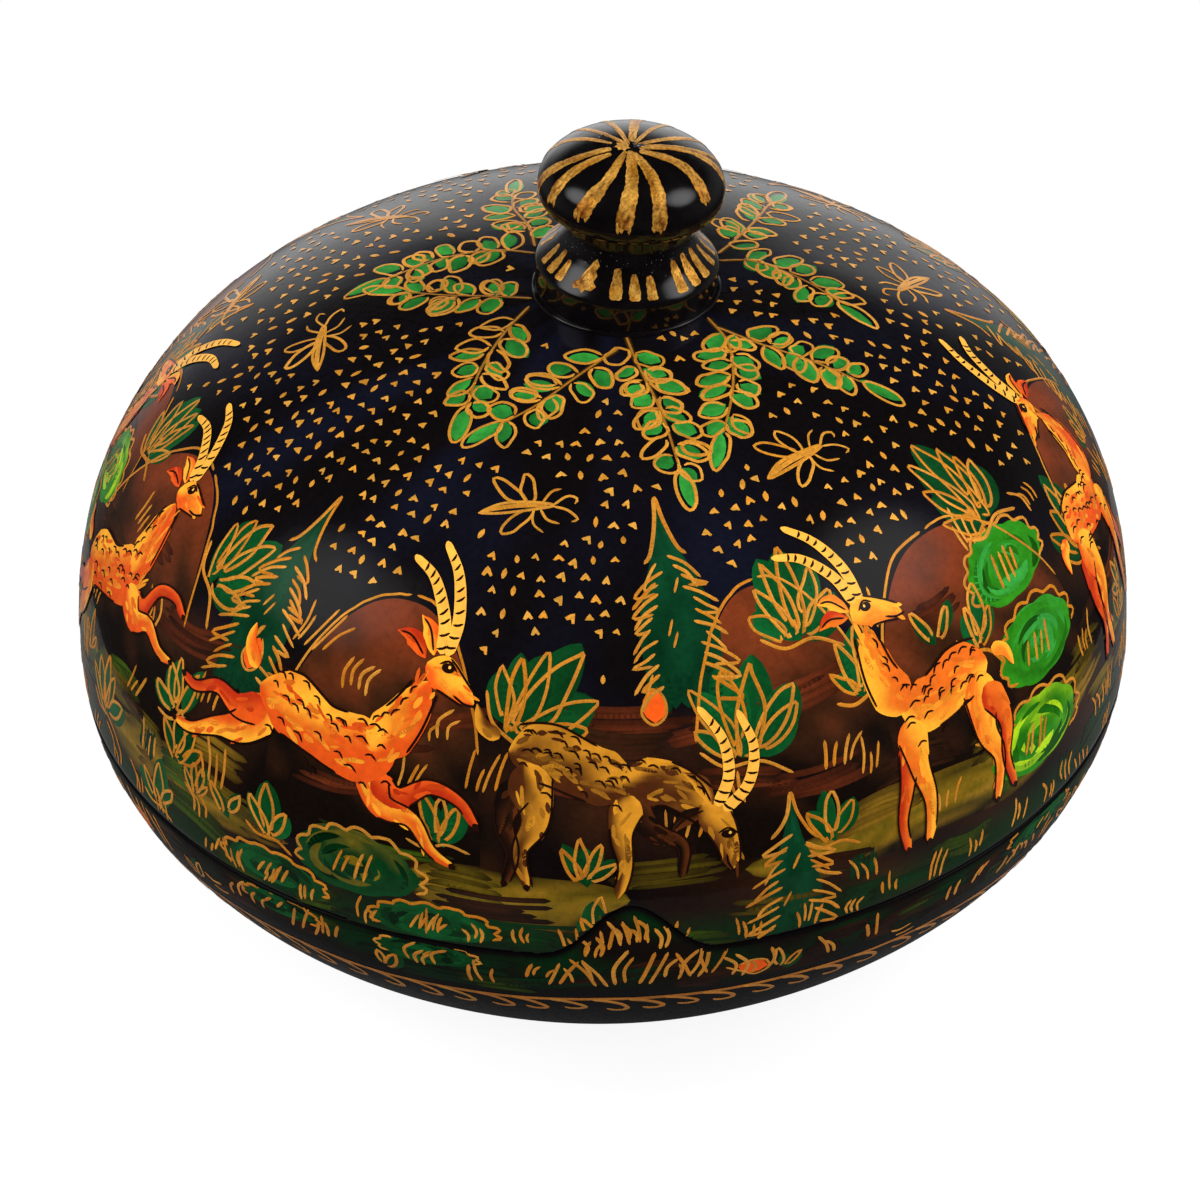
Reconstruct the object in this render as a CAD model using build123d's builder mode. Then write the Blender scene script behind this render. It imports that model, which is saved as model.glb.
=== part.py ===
"""Kashmiri papier-mache box: a moulded bowl and its dome lid, cut apart along a seam with an ogee peak at
the front, a pasteboard collar glued inside the bowl's rim, and a turned wooden knob pegged to the lid.

Millimetres, +Z up. Z = 0 is the flat base, the Z axis is the shell's own axis and the front faces -Y.
"""

import os
from math import asin, cos, pi, radians, sin

from build123d import *

# The moulded form: an upper and a lower superellipse that meet at the widest level, the equator.
equator_radius = 75.0
equator_height = 38.0
dome_rise = 55.6
dome_power = 2.457
bowl_depth = 46.7  # of the whole lower superellipse, which the flat base cuts short
bowl_power = 1.8765
wall = 3.0
floor_thickness = 3.4
profile_steps = 12

# The seam between bowl and lid, and the ogee peak that fixes which way round the lid sits.
seam_height = 35.6
peak_height = 8.2
peak_half_width = 12.8
peak_power = 1.25
peak_steps = 12
peak_clearance = 0.3

# The collar that the lid slides over.
collar_radius = 71.4
collar_wall = 1.8
collar_above_seam = 10.0
collar_below_seam = 8.0
collar_taper = 2.0  # how far the strip bends inwards, down to its lower edge
collar_round = 0.5

# The knob: cap and stem on one peg, set off the lid's centre and out of plumb.
knob_offset = 4.2  # to the right
knob_back = 1.6
knob_lean = 3.5
foot_radius = 12.7
foot_height = 4.2
foot_sink = 1.6  # length below the seat that is cut away to the dome's curve
foot_round = 0.4
shoulder_radius = 10.1
shoulder_height = 6.4
neck_radius = 8.5
neck_height = 9.8
stem_top_radius = 8.8
stem_height = 12.6
cap_radius = 12.9
cap_height = 15.9  # of the cap's widest level above the seat
cap_rise = 6.7
cap_power = 2.15
cap_lip = 1.4
cap_undercut_radius = 11.4
cap_undercut_height = 13.5
peg_radius = 5.2
peg_in_cap = 6.0
peg_hole_spare = 0.4

# The paper patch pasted over the peg's end inside the lid.
patch_radius = 11.0
patch_thickness = 1.2

reach = 2 * equator_radius  # longer than anything on the part, for cutting tools
peg_cut_length = 2 * wall  # from the seat down through the lid's crown

dome_top = equator_height + dome_rise
knob_seat = Vector(knob_offset, knob_back, dome_top)
knob_up = Vector(sin(radians(knob_lean)), 0, cos(radians(knob_lean)))
knob_right = Vector(cos(radians(knob_lean)), 0, -sin(radians(knob_lean)))
knob_axis = Axis(knob_seat, knob_up)
knob_section = Plane(origin=knob_seat, x_dir=knob_right, z_dir=(0, -1, 0))
knob_level = Plane(origin=knob_seat, x_dir=knob_right, z_dir=knob_up)


def superellipse(radius, rise, power, end_height):
    """Points (r, height) of a quarter superellipse, from the equator to end_height, evenly turned."""
    last = asin(min(1.0, end_height / rise) ** (power / 2))
    turns = [last * i / profile_steps for i in range(profile_steps + 1)]
    return [(radius * max(0.0, cos(t)) ** (2 / power), rise * sin(t) ** (2 / power)) for t in turns]


def form_half_section(inset, floor):
    """Half the section of the moulded form in XZ, inset from its skin and cut flat at height floor."""
    dome = superellipse(equator_radius - inset, dome_rise - inset, dome_power, dome_rise)
    bowl = superellipse(
        equator_radius - inset, bowl_depth - inset, bowl_power, equator_height - floor
    )
    dome = [(r, equator_height + z) for r, z in dome]
    bowl = [(r, equator_height - z) for r, z in bowl]
    with BuildSketch(Plane.XZ) as section:
        with BuildLine():
            Spline(*dome, tangents=((0, 1), (-1, 0)))
            Spline(*reversed(bowl))
            Line((0, floor), bowl[-1])
            Line((0, floor), dome[-1])
        make_face()
    return section.sketch


def peak_points(grow):
    """The ogee's crest line in XZ, grow further out than the bowl's own peak."""
    half, height = peak_half_width + grow, peak_height + grow
    places = [half * (2 * i / peak_steps - 1) for i in range(peak_steps + 1)]
    return [
        (x, seam_height + height * ((1 + cos(pi * x / half)) / 2) ** peak_power) for x in places
    ]


def peak_face(grow):
    """The ogee's outline in XZ, closed along the seam."""
    with BuildSketch(Plane.XZ) as outline:
        with BuildLine():
            crest = Spline(*peak_points(grow), tangents=((1, 0), (1, 0)))
            Line(crest @ 0, crest @ 1)
        make_face()
    return outline.sketch


# The solid outside form and the solid cavity form, which the pieces are cut from.
with BuildPart() as outer_form:
    revolve(form_half_section(0.0, 0.0), axis=Axis.Z)

with BuildPart() as cavity_form:
    revolve(form_half_section(wall, floor_thickness), axis=Axis.Z)

# Everything below the seam, with the peak standing on it at the front.
with BuildPart() as below_seam:
    with BuildSketch(Plane.XY.offset(seam_height)):
        Rectangle(2 * reach, 2 * reach)
    extrude(amount=-reach)
    extrude(peak_face(0.0), amount=reach)

# Everything above the seam, less the recess that the peak stands in.
with BuildPart() as above_seam:
    with BuildSketch(Plane.XY.offset(seam_height)):
        Rectangle(2 * reach, 2 * reach)
    extrude(amount=reach)
    extrude(peak_face(peak_clearance), amount=reach, mode=Mode.SUBTRACT)

# The bowl.
with BuildPart() as bowl_shell:
    add(outer_form.part)
    add(cavity_form.part, mode=Mode.SUBTRACT)
    add(below_seam.part, mode=Mode.INTERSECT)

# The collar: a pasteboard strip glued round the inside of the bowl's rim.
with BuildPart() as bowl_collar:
    with BuildSketch(Plane.XZ):
        with BuildLine():
            top = seam_height + collar_above_seam
            bottom = seam_height - collar_below_seam
            inner = collar_radius - collar_wall
            Polyline(
                (collar_radius, top),
                (collar_radius, bottom),
                (inner - collar_taper, bottom),
                (inner, seam_height),
                (inner, top),
                close=True,
            )
        make_face()
    revolve(axis=Axis.Z)
    add(cavity_form.part, mode=Mode.INTERSECT)
    fillet(bowl_collar.edges().group_by(Axis.Z)[-1], collar_round)

# The peg, which holds the cap and the stem to the lid.
with BuildPart() as knob_peg:
    with BuildSketch(knob_level.offset(stem_height + peg_in_cap)):
        Circle(peg_radius)
    extrude(amount=-(stem_height + peg_in_cap + peg_cut_length))
    add(cavity_form.part, mode=Mode.SUBTRACT)

# The lid, with the peg's hole.
with BuildPart() as lid_shell:
    add(outer_form.part)
    add(cavity_form.part, mode=Mode.SUBTRACT)
    add(above_seam.part, mode=Mode.INTERSECT)
    with BuildSketch(knob_level.offset(foot_sink)):
        Circle(peg_radius)
    extrude(amount=-(foot_sink + peg_cut_length), mode=Mode.SUBTRACT)

# The patch over the peg's end.
with BuildPart() as peg_patch:
    with BuildSketch(knob_level):
        Circle(patch_radius)
    extrude(amount=-dome_rise)
    add(cavity_form.part, mode=Mode.INTERSECT)
    patch_inside = form_half_section(wall + patch_thickness, floor_thickness)
    revolve(patch_inside, axis=Axis.Z, mode=Mode.SUBTRACT)

# The stem: a spool whose foot is dished to the dome and whose neck the fingers go round.
with BuildPart() as knob_stem:
    with BuildSketch(knob_section):
        with BuildLine():
            Polyline(
                (0, stem_height), (0, -foot_sink), (foot_radius, -foot_sink), (foot_radius, foot_height)
            )
            Line((foot_radius, foot_height), (shoulder_radius, shoulder_height))
            Spline(
                (shoulder_radius, shoulder_height),
                (neck_radius, neck_height),
                (stem_top_radius, stem_height),
                tangents=((-1, 1), (1, 2)),
            )
            Line((stem_top_radius, stem_height), (0, stem_height))
        make_face()
    revolve(axis=knob_axis)
    foot_edge = knob_stem.edges().filter_by(GeomType.CIRCLE).group_by(SortBy.RADIUS)[-1]
    fillet(foot_edge.sort_by(Axis.Z)[-1], foot_round)
    add(outer_form.part, mode=Mode.SUBTRACT)
    add(knob_peg.part, mode=Mode.SUBTRACT)

# The cap: a lens with a sharp lip, hollowed under for the fingertips.
cap_dome = superellipse(cap_radius, cap_rise, cap_power, cap_rise)
with BuildPart() as knob_cap:
    with BuildSketch(knob_section):
        with BuildLine():
            Line((0, stem_height), (stem_top_radius, stem_height))
            Spline(
                (stem_top_radius, stem_height),
                (cap_undercut_radius, cap_undercut_height),
                (cap_radius, cap_height - cap_lip),
                tangents=((1, 0.2), (1, 1)),
            )
            Line((cap_radius, cap_height - cap_lip), (cap_radius, cap_height))
            Spline(*[(r, cap_height + z) for r, z in cap_dome], tangents=((0, 1), (-1, 0)))
            Line((0, cap_height + cap_rise), (0, stem_height))
        make_face()
    revolve(axis=knob_axis)
    with BuildSketch(knob_level.offset(stem_height)):
        Circle(peg_radius)
    extrude(amount=peg_in_cap + peg_hole_spare, mode=Mode.SUBTRACT)

pieces = {
    "bowl_shell": bowl_shell,
    "bowl_collar": bowl_collar,
    "lid_shell": lid_shell,
    "knob_stem": knob_stem,
    "knob_cap": knob_cap,
    "knob_peg": knob_peg,
    "peg_patch": peg_patch,
}

os.makedirs("parts", exist_ok=True)
for name, piece in pieces.items():
    piece.part.label = name
    export_step(piece.part, f"parts/{name}.step")
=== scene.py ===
"""How the Kashmiri papier-mache box looks: lacquered shells, a painted garden and gold brush lines.

Lengths are millimetres until a mesh is made, and turns are degrees round from the front. The painting is laid
out on charts, flat sheets whose x runs to the right and whose y runs up the box, and each chart wraps on to a
skin. Brush strokes, bands and blobs of paint are thin meshes that follow the skin.
"""

import random
from itertools import product
from math import asin, ceil, cos, hypot, pi, radians, sin, sqrt

import bpy
import numpy as np
from mathutils import Matrix, Vector


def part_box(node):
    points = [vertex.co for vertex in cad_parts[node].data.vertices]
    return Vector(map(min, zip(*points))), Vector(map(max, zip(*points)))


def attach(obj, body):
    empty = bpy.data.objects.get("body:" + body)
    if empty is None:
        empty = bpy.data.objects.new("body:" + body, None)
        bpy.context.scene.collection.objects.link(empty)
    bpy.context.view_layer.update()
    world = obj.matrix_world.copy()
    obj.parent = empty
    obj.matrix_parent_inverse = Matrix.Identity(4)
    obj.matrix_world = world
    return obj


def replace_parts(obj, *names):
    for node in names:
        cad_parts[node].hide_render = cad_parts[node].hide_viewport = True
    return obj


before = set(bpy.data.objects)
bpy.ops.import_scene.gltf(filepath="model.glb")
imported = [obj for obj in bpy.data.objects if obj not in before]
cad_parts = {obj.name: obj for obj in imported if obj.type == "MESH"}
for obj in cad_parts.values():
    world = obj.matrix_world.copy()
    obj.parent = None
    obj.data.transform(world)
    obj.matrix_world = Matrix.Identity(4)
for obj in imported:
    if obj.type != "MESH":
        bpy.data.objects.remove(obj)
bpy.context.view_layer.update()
draw = random.Random(41)
vary, pick = draw.uniform, draw.choice

# --- Measures, as in the solids' own source
MM = 0.001
lid_low, lid_high = (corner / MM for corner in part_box("lid_shell"))
EQUATOR = (lid_high.x - lid_low.x) / 2
SEAM, CROWN = lid_low.z, lid_high.z
EQUATOR_HEIGHT, DOME_POWER, BOWL_DEPTH, BOWL_POWER = 38.0, 2.457, 46.7, 1.8765
WALL, FLOOR_THICKNESS = 3.0, 3.4
PEAK_HEIGHT, PEAK_HALF_WIDTH, PEAK_POWER = 8.2, 12.8, 1.25
COLLAR_RADIUS, COLLAR_WALL, COLLAR_TAPER = 71.4, 1.8, 2.0
KNOB_OFFSET, KNOB_BACK, KNOB_LEAN = 4.2, 1.6, 3.5
CAP_RADIUS, CAP_HEIGHT, CAP_POWER = 12.9, 15.9, 2.15
CAP_RISE = 6.58  # a tenth under the solid's, for the gold leaf on it
LIP_ROUND = 0.7  # rounding of the seam's worn lips
BASE_ROUND = 0.9
SEAM_GAP = 0.35  # how far the paint stays from the seam
SECTION_STEPS = 400


def superellipse(radius, rise, power, end_height, steps=SECTION_STEPS):
    """Points (r, height) of a quarter superellipse, from its widest level to end_height."""
    t = np.linspace(0, asin(min(1.0, end_height / rise) ** (power / 2)), steps)
    return radius * np.maximum(np.cos(t), 0) ** (2 / power), rise * np.sin(t) ** (2 / power)


def shell_section(inset, floor):
    """Section of the moulded form from its floor up to the crown, inset from the skin."""
    radius, rise, level = EQUATOR - inset, CROWN - EQUATOR_HEIGHT - inset, EQUATOR_HEIGHT - floor
    bowl_r, bowl_z = superellipse(radius, BOWL_DEPTH - inset, BOWL_POWER, level)
    dome_r, dome_z = superellipse(radius, rise, DOME_POWER, rise)
    return np.r_[bowl_r[::-1], dome_r[1:]], np.r_[EQUATOR_HEIGHT - bowl_z[::-1], EQUATOR_HEIGHT + dome_z[1:]]


# --- Skins
def unit(vectors):
    return vectors / np.maximum(np.linalg.norm(vectors, axis=-1, keepdims=True), 1e-9)


class Skin:
    """A surface of revolution to paint on: turn is degrees from the front, rise is mm along its section."""

    def __init__(self, radii, heights, zero_height, sunk=None, origin=(0, 0, 0), lean=0.0, reach=0.6):
        along = np.r_[0, np.cumsum(np.hypot(np.diff(radii), np.diff(heights)))]
        self.radii, self.heights, self.sunk, self.reach = radii, heights, sunk, reach
        self.rise = along - np.interp(zero_height, heights, along)
        self.top = self.rise[-1]
        self.out, self.over = np.gradient(heights, along), -np.gradient(radii, along)
        self.origin = np.array(origin, float)
        self.right = np.array([cos(radians(lean)), 0, -sin(radians(lean))])
        self.up = np.array([sin(radians(lean)), 0, cos(radians(lean))])
        self.back = np.array([0.0, 1.0, 0.0])

    def place(self, turn, rise):
        turn, rise = np.broadcast_arrays(np.asarray(turn, float), np.asarray(rise, float))
        r, z = (np.interp(rise, self.rise, values) for values in (self.radii, self.heights))
        if self.sunk is not None:
            depth = self.sunk(turn, rise)
            r = r - depth * np.interp(rise, self.rise, self.out)
            z = z - depth * np.interp(rise, self.rise, self.over)
        a = np.radians(turn)[..., None]
        outward = self.right * np.sin(a) - self.back * np.cos(a)
        return self.origin + outward * r[..., None] + self.up * z[..., None]

    def radius(self, rise):
        return np.interp(rise, self.rise, self.radii)

    def rise_at(self, height):
        return np.interp(height, self.heights, self.rise)

    def at(self, turn, rise, lift=0.0):
        """Points lift mm above the skin, and the skin's normals there."""
        e = self.reach
        swing = np.degrees(e / np.maximum(self.radius(rise), e))
        along = self.place(turn + swing, rise) - self.place(turn - swing, rise)
        upward = self.place(turn, rise + e) - self.place(turn, rise - e)
        normal = unit(np.cross(along, upward))
        lift = np.broadcast_to(np.asarray(lift, float), np.shape(normal)[:-1])
        return self.place(turn, rise) + normal * lift[..., None], normal


# Dents of the pulp: turn, rise, size and depth.
DENTS = (
    (-31, 58, 6.5, 0.3), (19, 57, 7.5, 0.35), (-64, 62, 8, 0.25), (58, 66, 9, 0.25), (-4, 78, 7, 0.2),
    (-12, 30, 8, 0.2), (33, 26, 9, 0.2), (110, 60, 9, 0.3), (158, 42, 8, 0.3), (215, 64, 9, 0.3),
    (254, 38, 8, 0.25),
)  # fmt: skip
DENT_RADIUS = 62  # about the shell's radius where the dents are


def wrapped(turn):
    """The same turn, between -180 and 180."""
    return (turn + 180) % 360 - 180


def shell_sunk(turn, rise):
    """How far the hand-formed skin lies inside the true form, in mm."""
    a = np.radians(turn)
    waves = 0.1 + 0.08 * (1 + np.sin(2 * a + 0.7) * np.cos(rise / 26 + 1))
    waves += 0.05 * (1 + np.sin(5 * a + rise / 19))
    waves += 0.035 * (1 + np.sin(9 * a - rise / 11 + 2))
    depth = waves * np.clip((shell.top - rise) / 20, 0, 1)
    for at_turn, at_rise, size, deep in DENTS:
        dx = wrapped(turn - at_turn) * pi / 180 * DENT_RADIUS
        depth = depth + deep * np.exp(-(dx**2 + (rise - at_rise) ** 2) / (2 * size**2))
    return depth


section = shell_section(0.0, 0.0)
shell = Skin(*section, SEAM, shell_sunk)
inner = Skin(*shell_section(WALL, FLOOR_THICKNESS), SEAM)


def polar_chart(skin):
    """A chart centred on a skin's top, as seen from above."""
    return lambda x, y: (np.degrees(np.arctan2(x, -y)), skin.top - np.hypot(x, y))


def wrapped_chart(radius):
    """A chart wrapped round the axis, true to size where the skin has this radius."""
    return lambda x, y: (np.degrees(x / radius), y)


class Sheet:
    """A place on a skin's chart, turned, sized and perhaps mirrored, for one motif."""

    def __init__(self, skin, chart, x=0.0, y=0.0, tilt=0.0, size=1.0, flip=1):
        self.skin, self.chart = skin, chart
        self.x, self.y, self.tilt, self.size, self.flip = x, y, tilt, size, flip

    def on_chart(self, points):
        points = np.asarray(points, float) * self.size
        u, v = points[..., 0] * self.flip, points[..., 1]
        a = radians(self.tilt)
        return np.stack([self.x + u * cos(a) - v * sin(a), self.y + u * sin(a) + v * cos(a)], -1)

    def narrowing(self, places):
        """How much narrower the garden's chart gets on the skin, and 1 on the other charts."""
        if self.chart is frieze_chart:
            return np.maximum(shell.radius(places[..., 1]) / EQUATOR, 0.2)
        return np.ones(places.shape[:-1])

    def on_skin(self, places, lift):
        turn, rise = self.chart(places[..., 0], places[..., 1])
        return self.skin.at(turn, rise, lift)

    def spot(self, x, y, tilt=0.0, size=1.0, flip=1):
        """A smaller sheet on this one."""
        tilt, size, flip = self.tilt + tilt * self.flip, self.size * size, self.flip * flip
        return Sheet(self.skin, self.chart, *self.on_chart([x, y]), tilt, size, flip)


frieze_chart = wrapped_chart(EQUATOR)
garden = Sheet(shell, frieze_chart)
sky = Sheet(shell, polar_chart(shell))


def around(turn, rise, tilt=0.0, size=1.0, flip=1):
    """A sheet in the garden, at a turn and a rise above the seam."""
    return garden.spot(EQUATOR * radians(turn), rise, tilt, size, flip)


# --- Colours
def srgb(red, green, blue):
    """A colour given as 0 to 255 on screen, in linear light."""
    c = np.array([red, green, blue]) / 255
    return np.where(c <= 0.04045, c / 12.92, ((c + 0.055) / 1.055) ** 2.4)


def mix(a, b, share):
    share = np.clip(np.asarray(share, float), 0, 1)[..., None]
    return np.asarray(a) * (1 - share) + np.asarray(b) * share


def wobble(x, y, size, seed=0.0):
    """Smooth noise between -1 and 1."""
    u, v = np.asarray(x) / size, np.asarray(y) / size
    n = np.sin(u * 2.1 + 1.7 * np.sin(v * 1.3 + seed)) + np.sin(v * 2.7 + 1.9 * np.sin(u * 1.1 + 2 * seed))
    return (n + np.sin(u * 4.3 + v * 3.9 + 3 * seed) * 0.6) / 2.6


BLACK, NAVY, INK = srgb(11, 8, 9), srgb(14, 15, 27), srgb(26, 10, 6)
GOLD, GARDEN_GOLD = srgb(228, 152, 48), srgb(212, 128, 28)
PALE_GOLD, DULL_GOLD = srgb(244, 182, 80), srgb(150, 90, 30)
SIENNA, UMBER, EARTH = srgb(112, 48, 22), srgb(56, 29, 13), srgb(17, 10, 7)
OLIVE, OCHRE, MOSS = srgb(112, 92, 17), srgb(132, 98, 22), srgb(66, 92, 16)
LEAF, DEEP_LEAF, DARK_LEAF = srgb(46, 138, 50), srgb(10, 77, 33), srgb(9, 58, 24)
FIR, BUSH, LIME, STEM = srgb(9, 58, 32), srgb(38, 122, 18), srgb(152, 190, 24), srgb(96, 66, 26)
YELLOW, ORANGE, RED = srgb(240, 164, 42), srgb(220, 84, 20), srgb(172, 42, 12)
BROWN, CREAM, MUSTARD = srgb(84, 40, 14), srgb(232, 176, 78), srgb(208, 138, 34)
BUD = srgb(232, 84, 20)
BARE_SIZE = srgb(110, 42, 14)  # the red-brown glue that shows where gold leaf is rubbed off
CHIP, DUST = srgb(52, 54, 62), srgb(170, 168, 165)


# --- Materials
PEEL_SIZE, PEEL_HEIGHT = 3.2, 0.02  # ripples of the lacquer, in mm


def set_inputs(tree, node, inputs):
    """Sets a node's inputs, or links them where the value is another node's output."""
    for key, value in inputs.items():
        if isinstance(value, bpy.types.NodeSocket):
            tree.links.new(value, node.inputs[key])
        else:
            node.inputs[key].default_value = value


def put(tree, kind, inputs, output=0, **settings):
    """Adds a shader node and gives one of its outputs."""
    made = tree.nodes.new("ShaderNode" + kind)
    for key, value in settings.items():
        setattr(made, key, value)
    set_inputs(tree, made, inputs)
    return made.outputs[output]


def joined(tree, operation, a, b=0.0):
    return put(tree, "Math", {0: a, 1: b}, operation=operation)


def noise(tree, size, detail=2.0, rough=0.55, squash=(1, 1, 1)):
    """Noise in object space, with features of about size mm."""
    place = put(tree, "Mapping", {"Vector": put(tree, "TexCoord", {}, "Object"), "Scale": squash})
    grain = {"Scale": 1 / (size * MM), "Detail": detail, "Roughness": rough}
    return put(tree, "TexNoise", {"Vector": place, **grain})


def span(tree, value, low, high, from_low=0.3, from_high=0.7, **settings):
    """A value carried from one range to another."""
    ends = {"From Min": from_low, "From Max": from_high, "To Min": low, "To Max": high}
    return put(tree, "MapRange", {"Value": value, **ends}, **settings)


def material(name):
    made = bpy.data.materials.new(name)
    made.use_nodes = True
    return made, made.node_tree, made.node_tree.nodes["Principled BSDF"]


def dress(tree, shader, colour, shade, height, bump_height, inputs):
    """Gives a shader its colour, scaled by shade, and a face bumpy with height, also under its coat."""
    face = put(tree, "Bump", {"Height": height, "Distance": bump_height * MM})
    inputs["Base Color"] = put(tree, "VectorMath", {0: colour, "Scale": shade}, operation="SCALE")
    inputs["Normal"] = face
    if inputs["Coat Weight"] > 0:
        inputs["Coat Normal"] = face
    set_inputs(tree, shader, inputs)


def painted(name, metallic, roughness, grain, grain_size, bump_height, coat=1.0):
    """Paint whose colour the mesh carries, mottled by grain, under clear lacquer."""
    made, tree, shader = material(name)
    colour = put(tree, "Attribute", {}, attribute_name="paint")
    fine, wide = noise(tree, grain_size, 4.0, 0.6), noise(tree, 9 * grain_size)
    mottle = span(tree, wide, 1 - grain * 0.6, 1 + grain * 0.6)
    shade = joined(tree, "MULTIPLY", span(tree, fine, 1 - grain, 1 + grain), mottle)
    height = noise(tree, PEEL_SIZE)
    if bump_height > 0:
        height = joined(tree, "ADD", span(tree, fine, 0, 1, 0, 1), span(tree, height, 0, 0.6, 0, 1))
    inputs = {"Metallic": metallic, "Roughness": span(tree, fine, roughness - 0.08, roughness + 0.08)}
    inputs |= {"Coat Weight": coat, "Coat Roughness": 0.045, "Coat IOR": 1.21, "Specular IOR Level": 0.03}
    dress(tree, shader, colour, shade, height, bump_height or PEEL_HEIGHT, inputs)
    return made


def plain(name, colour, roughness, grain, grain_size, coat, bump_height, squash=(1, 1, 1)):
    """Unpainted stuff: one colour with mottling and a bumpy face."""
    made, tree, shader = material(name)
    fine = noise(tree, grain_size, 5.0, 0.6, squash)
    base = put(tree, "RGB", {})
    base.default_value = (*colour, 1)
    inputs = {"Roughness": span(tree, fine, roughness - 0.1, roughness + 0.1), "Specular IOR Level": 0.1}
    inputs |= {"Coat Weight": coat, "Coat Roughness": 0.075 if coat == 1.0 else 0.12, "Coat IOR": 1.48}
    dress(tree, shader, base, span(tree, fine, 1 - grain, 1 + grain), fine, bump_height, inputs)
    return made


LACQUER = painted("lacquered_paint", 0.0, 0.32, 0.16, 0.9, 0.0)
BOWL_LACQUER = painted("bowl_lacquered_paint", 0.0, 0.32, 0.16, 0.9, 0.0, 0.25)
FUR_PAINT = painted("lacquered_figures", 0.0, 0.32, 0.14, 1.3, 0.0)
GILT = painted("gold_brushwork", 0.35, 0.42, 0.22, 0.35, 0.02)
LEAF_GILT = painted("gold_leaf", 0.55, 0.34, 0.4, 0.34, 0.09)
INSIDE = plain("inside_lacquer", srgb(17, 14, 14), 0.4, 0.3, 5.0, 0.5, 0.05)
BOARD = plain("lacquered_pasteboard", srgb(20, 16, 15), 0.45, 0.3, 2.5, 0.35, 0.06)
PEG_WOOD = plain("peg_wood", srgb(168, 128, 84), 0.6, 0.25, 1.2, 0.0, 0.05, (1, 1, 0.12))
PATCH_PAPER = plain("patch_paper", srgb(50, 40, 32), 0.6, 0.35, 2.0, 0.0, 0.08)
KNOB_LACQUER = plain("knob_lacquer", srgb(9, 7, 8), 0.25, 0.3, 2.2, 1.0, 0.015)


# --- Meshes
def mesh_object(name, points, faces, look, normals=None, paint=None):
    """A mesh in metres from millimetre points."""
    mesh = bpy.data.meshes.new(name)
    mesh.from_pydata([tuple(p) for p in np.asarray(points) * MM], [], faces)
    mesh.materials.append(look)
    mesh.shade_smooth()
    if paint is not None:
        colours = mesh.color_attributes.new("paint", "FLOAT_COLOR", "POINT")
        rgba = np.ones((len(points), 4), np.float32)
        rgba[:, :3] = np.clip(paint, 0, 1)
        colours.data.foreach_set("color", rgba.ravel())
    if normals is not None:
        mesh.normals_split_custom_set_from_vertices([tuple(n) for n in normals])
    made = bpy.data.objects.new(name, mesh)
    bpy.context.scene.collection.objects.link(made)
    return made


def dressed(made, body):
    """Ties a mesh to the body it moves with."""
    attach(made, body)
    return made


def grid_quads(rows, columns, closed=True):
    """Corners of the quads between a grid's points. closed joins the last column to the first."""
    row = np.arange(rows - 1)[:, None] * columns
    column = np.arange(columns if closed else columns - 1)[None, :]
    after = (column + 1) % columns
    quads = np.stack([row + column, row + after, row + columns + after, row + columns + column], -1)
    return quads.reshape(-1, 4)


class Coat:
    """One kind of paint on one body."""

    def __init__(self, name, body, slot, look):
        self.name, self.body, self.slot, self.look = name, body, slot, look
        self.points, self.normals, self.paint, self.faces, self.count = [], [], [], [], 0

    def add(self, points, normals, paint, rows, columns, closed=False):
        """A grid of rows by columns points."""
        quads = grid_quads(rows, columns, closed)
        flat, up = points.reshape(-1, 3), normals.reshape(-1, 3)
        a, b, c, d = (flat[quads[:, k]] for k in range(4))
        if (np.cross(c - a, d - b) * up[quads[:, 0]]).sum() < 0:
            quads = quads[:, ::-1]
        self.faces.extend((quads + self.count).tolist())
        self.points.append(flat)
        self.normals.append(up)
        self.paint.append(np.broadcast_to(paint, points.shape).reshape(-1, 3))
        self.count += rows * columns

    def finish(self):
        """One mesh of all the strokes, less what would reach across the seam."""
        points, faces = np.concatenate(self.points), np.array(self.faces)
        turn = np.degrees(np.arctan2(points[:, 0], -points[:, 1]))
        over = points[:, 2] - seam_height(turn, np.hypot(points[:, 0], points[:, 1]))
        good = over < -SEAM_GAP if self.body == "bowl" else over > SEAM_GAP
        faces = faces[good[faces].all(axis=1)]
        used = np.unique(faces)
        normals, paint = np.concatenate(self.normals)[used], np.concatenate(self.paint)[used]
        faces = np.searchsorted(used, faces).tolist()
        dressed(mesh_object(self.name, points[used], faces, self.look, normals, paint), self.body)


def curve(points, step=0.55):
    """A Catmull-Rom curve through the points, at even steps."""
    points = np.asarray(points, float)
    if len(points) == 2:
        count = max(2, ceil(hypot(*(points[1] - points[0])) / step) + 1)
        return points[0] + np.linspace(0, 1, count)[:, None] * (points[1] - points[0])
    ends = np.vstack([2 * points[0] - points[1], points, 2 * points[-1] - points[-2]])
    t = np.linspace(0, 1, 9)[:-1, None]
    runs = [
        0.5 * (2 * b + (c - a) * t + (2 * a - 5 * b + 4 * c - d) * t**2 + (3 * b - a - 3 * c + d) * t**3)
        for a, b, c, d in zip(ends, ends[1:], ends[2:], ends[3:])
    ]
    fine = np.vstack(runs + [points[-1:]])
    along = np.r_[0, np.cumsum(np.hypot(*np.diff(fine, axis=0).T))]
    even = np.linspace(0, along[-1], max(3, ceil(along[-1] / step) + 1))
    return np.stack([np.interp(even, along, fine[:, k]) for k in (0, 1)], -1)


def along_stroke(t, values):
    """Values given at even steps along a stroke, at t from 0 to 1."""
    return np.interp(t, np.linspace(0, 1, len(values)), values)


def rounded(t, length, width, first, start, last, end):
    """Share of full width along a stroke that rounds off over start and end widths."""
    begun = np.sqrt(np.clip((t * length + first) / (start * width), 0, 1))
    ended = np.sqrt(np.clip(((1 - t) * length + last) / (end * width), 0, 1))
    return np.minimum(begun, ended)


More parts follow.
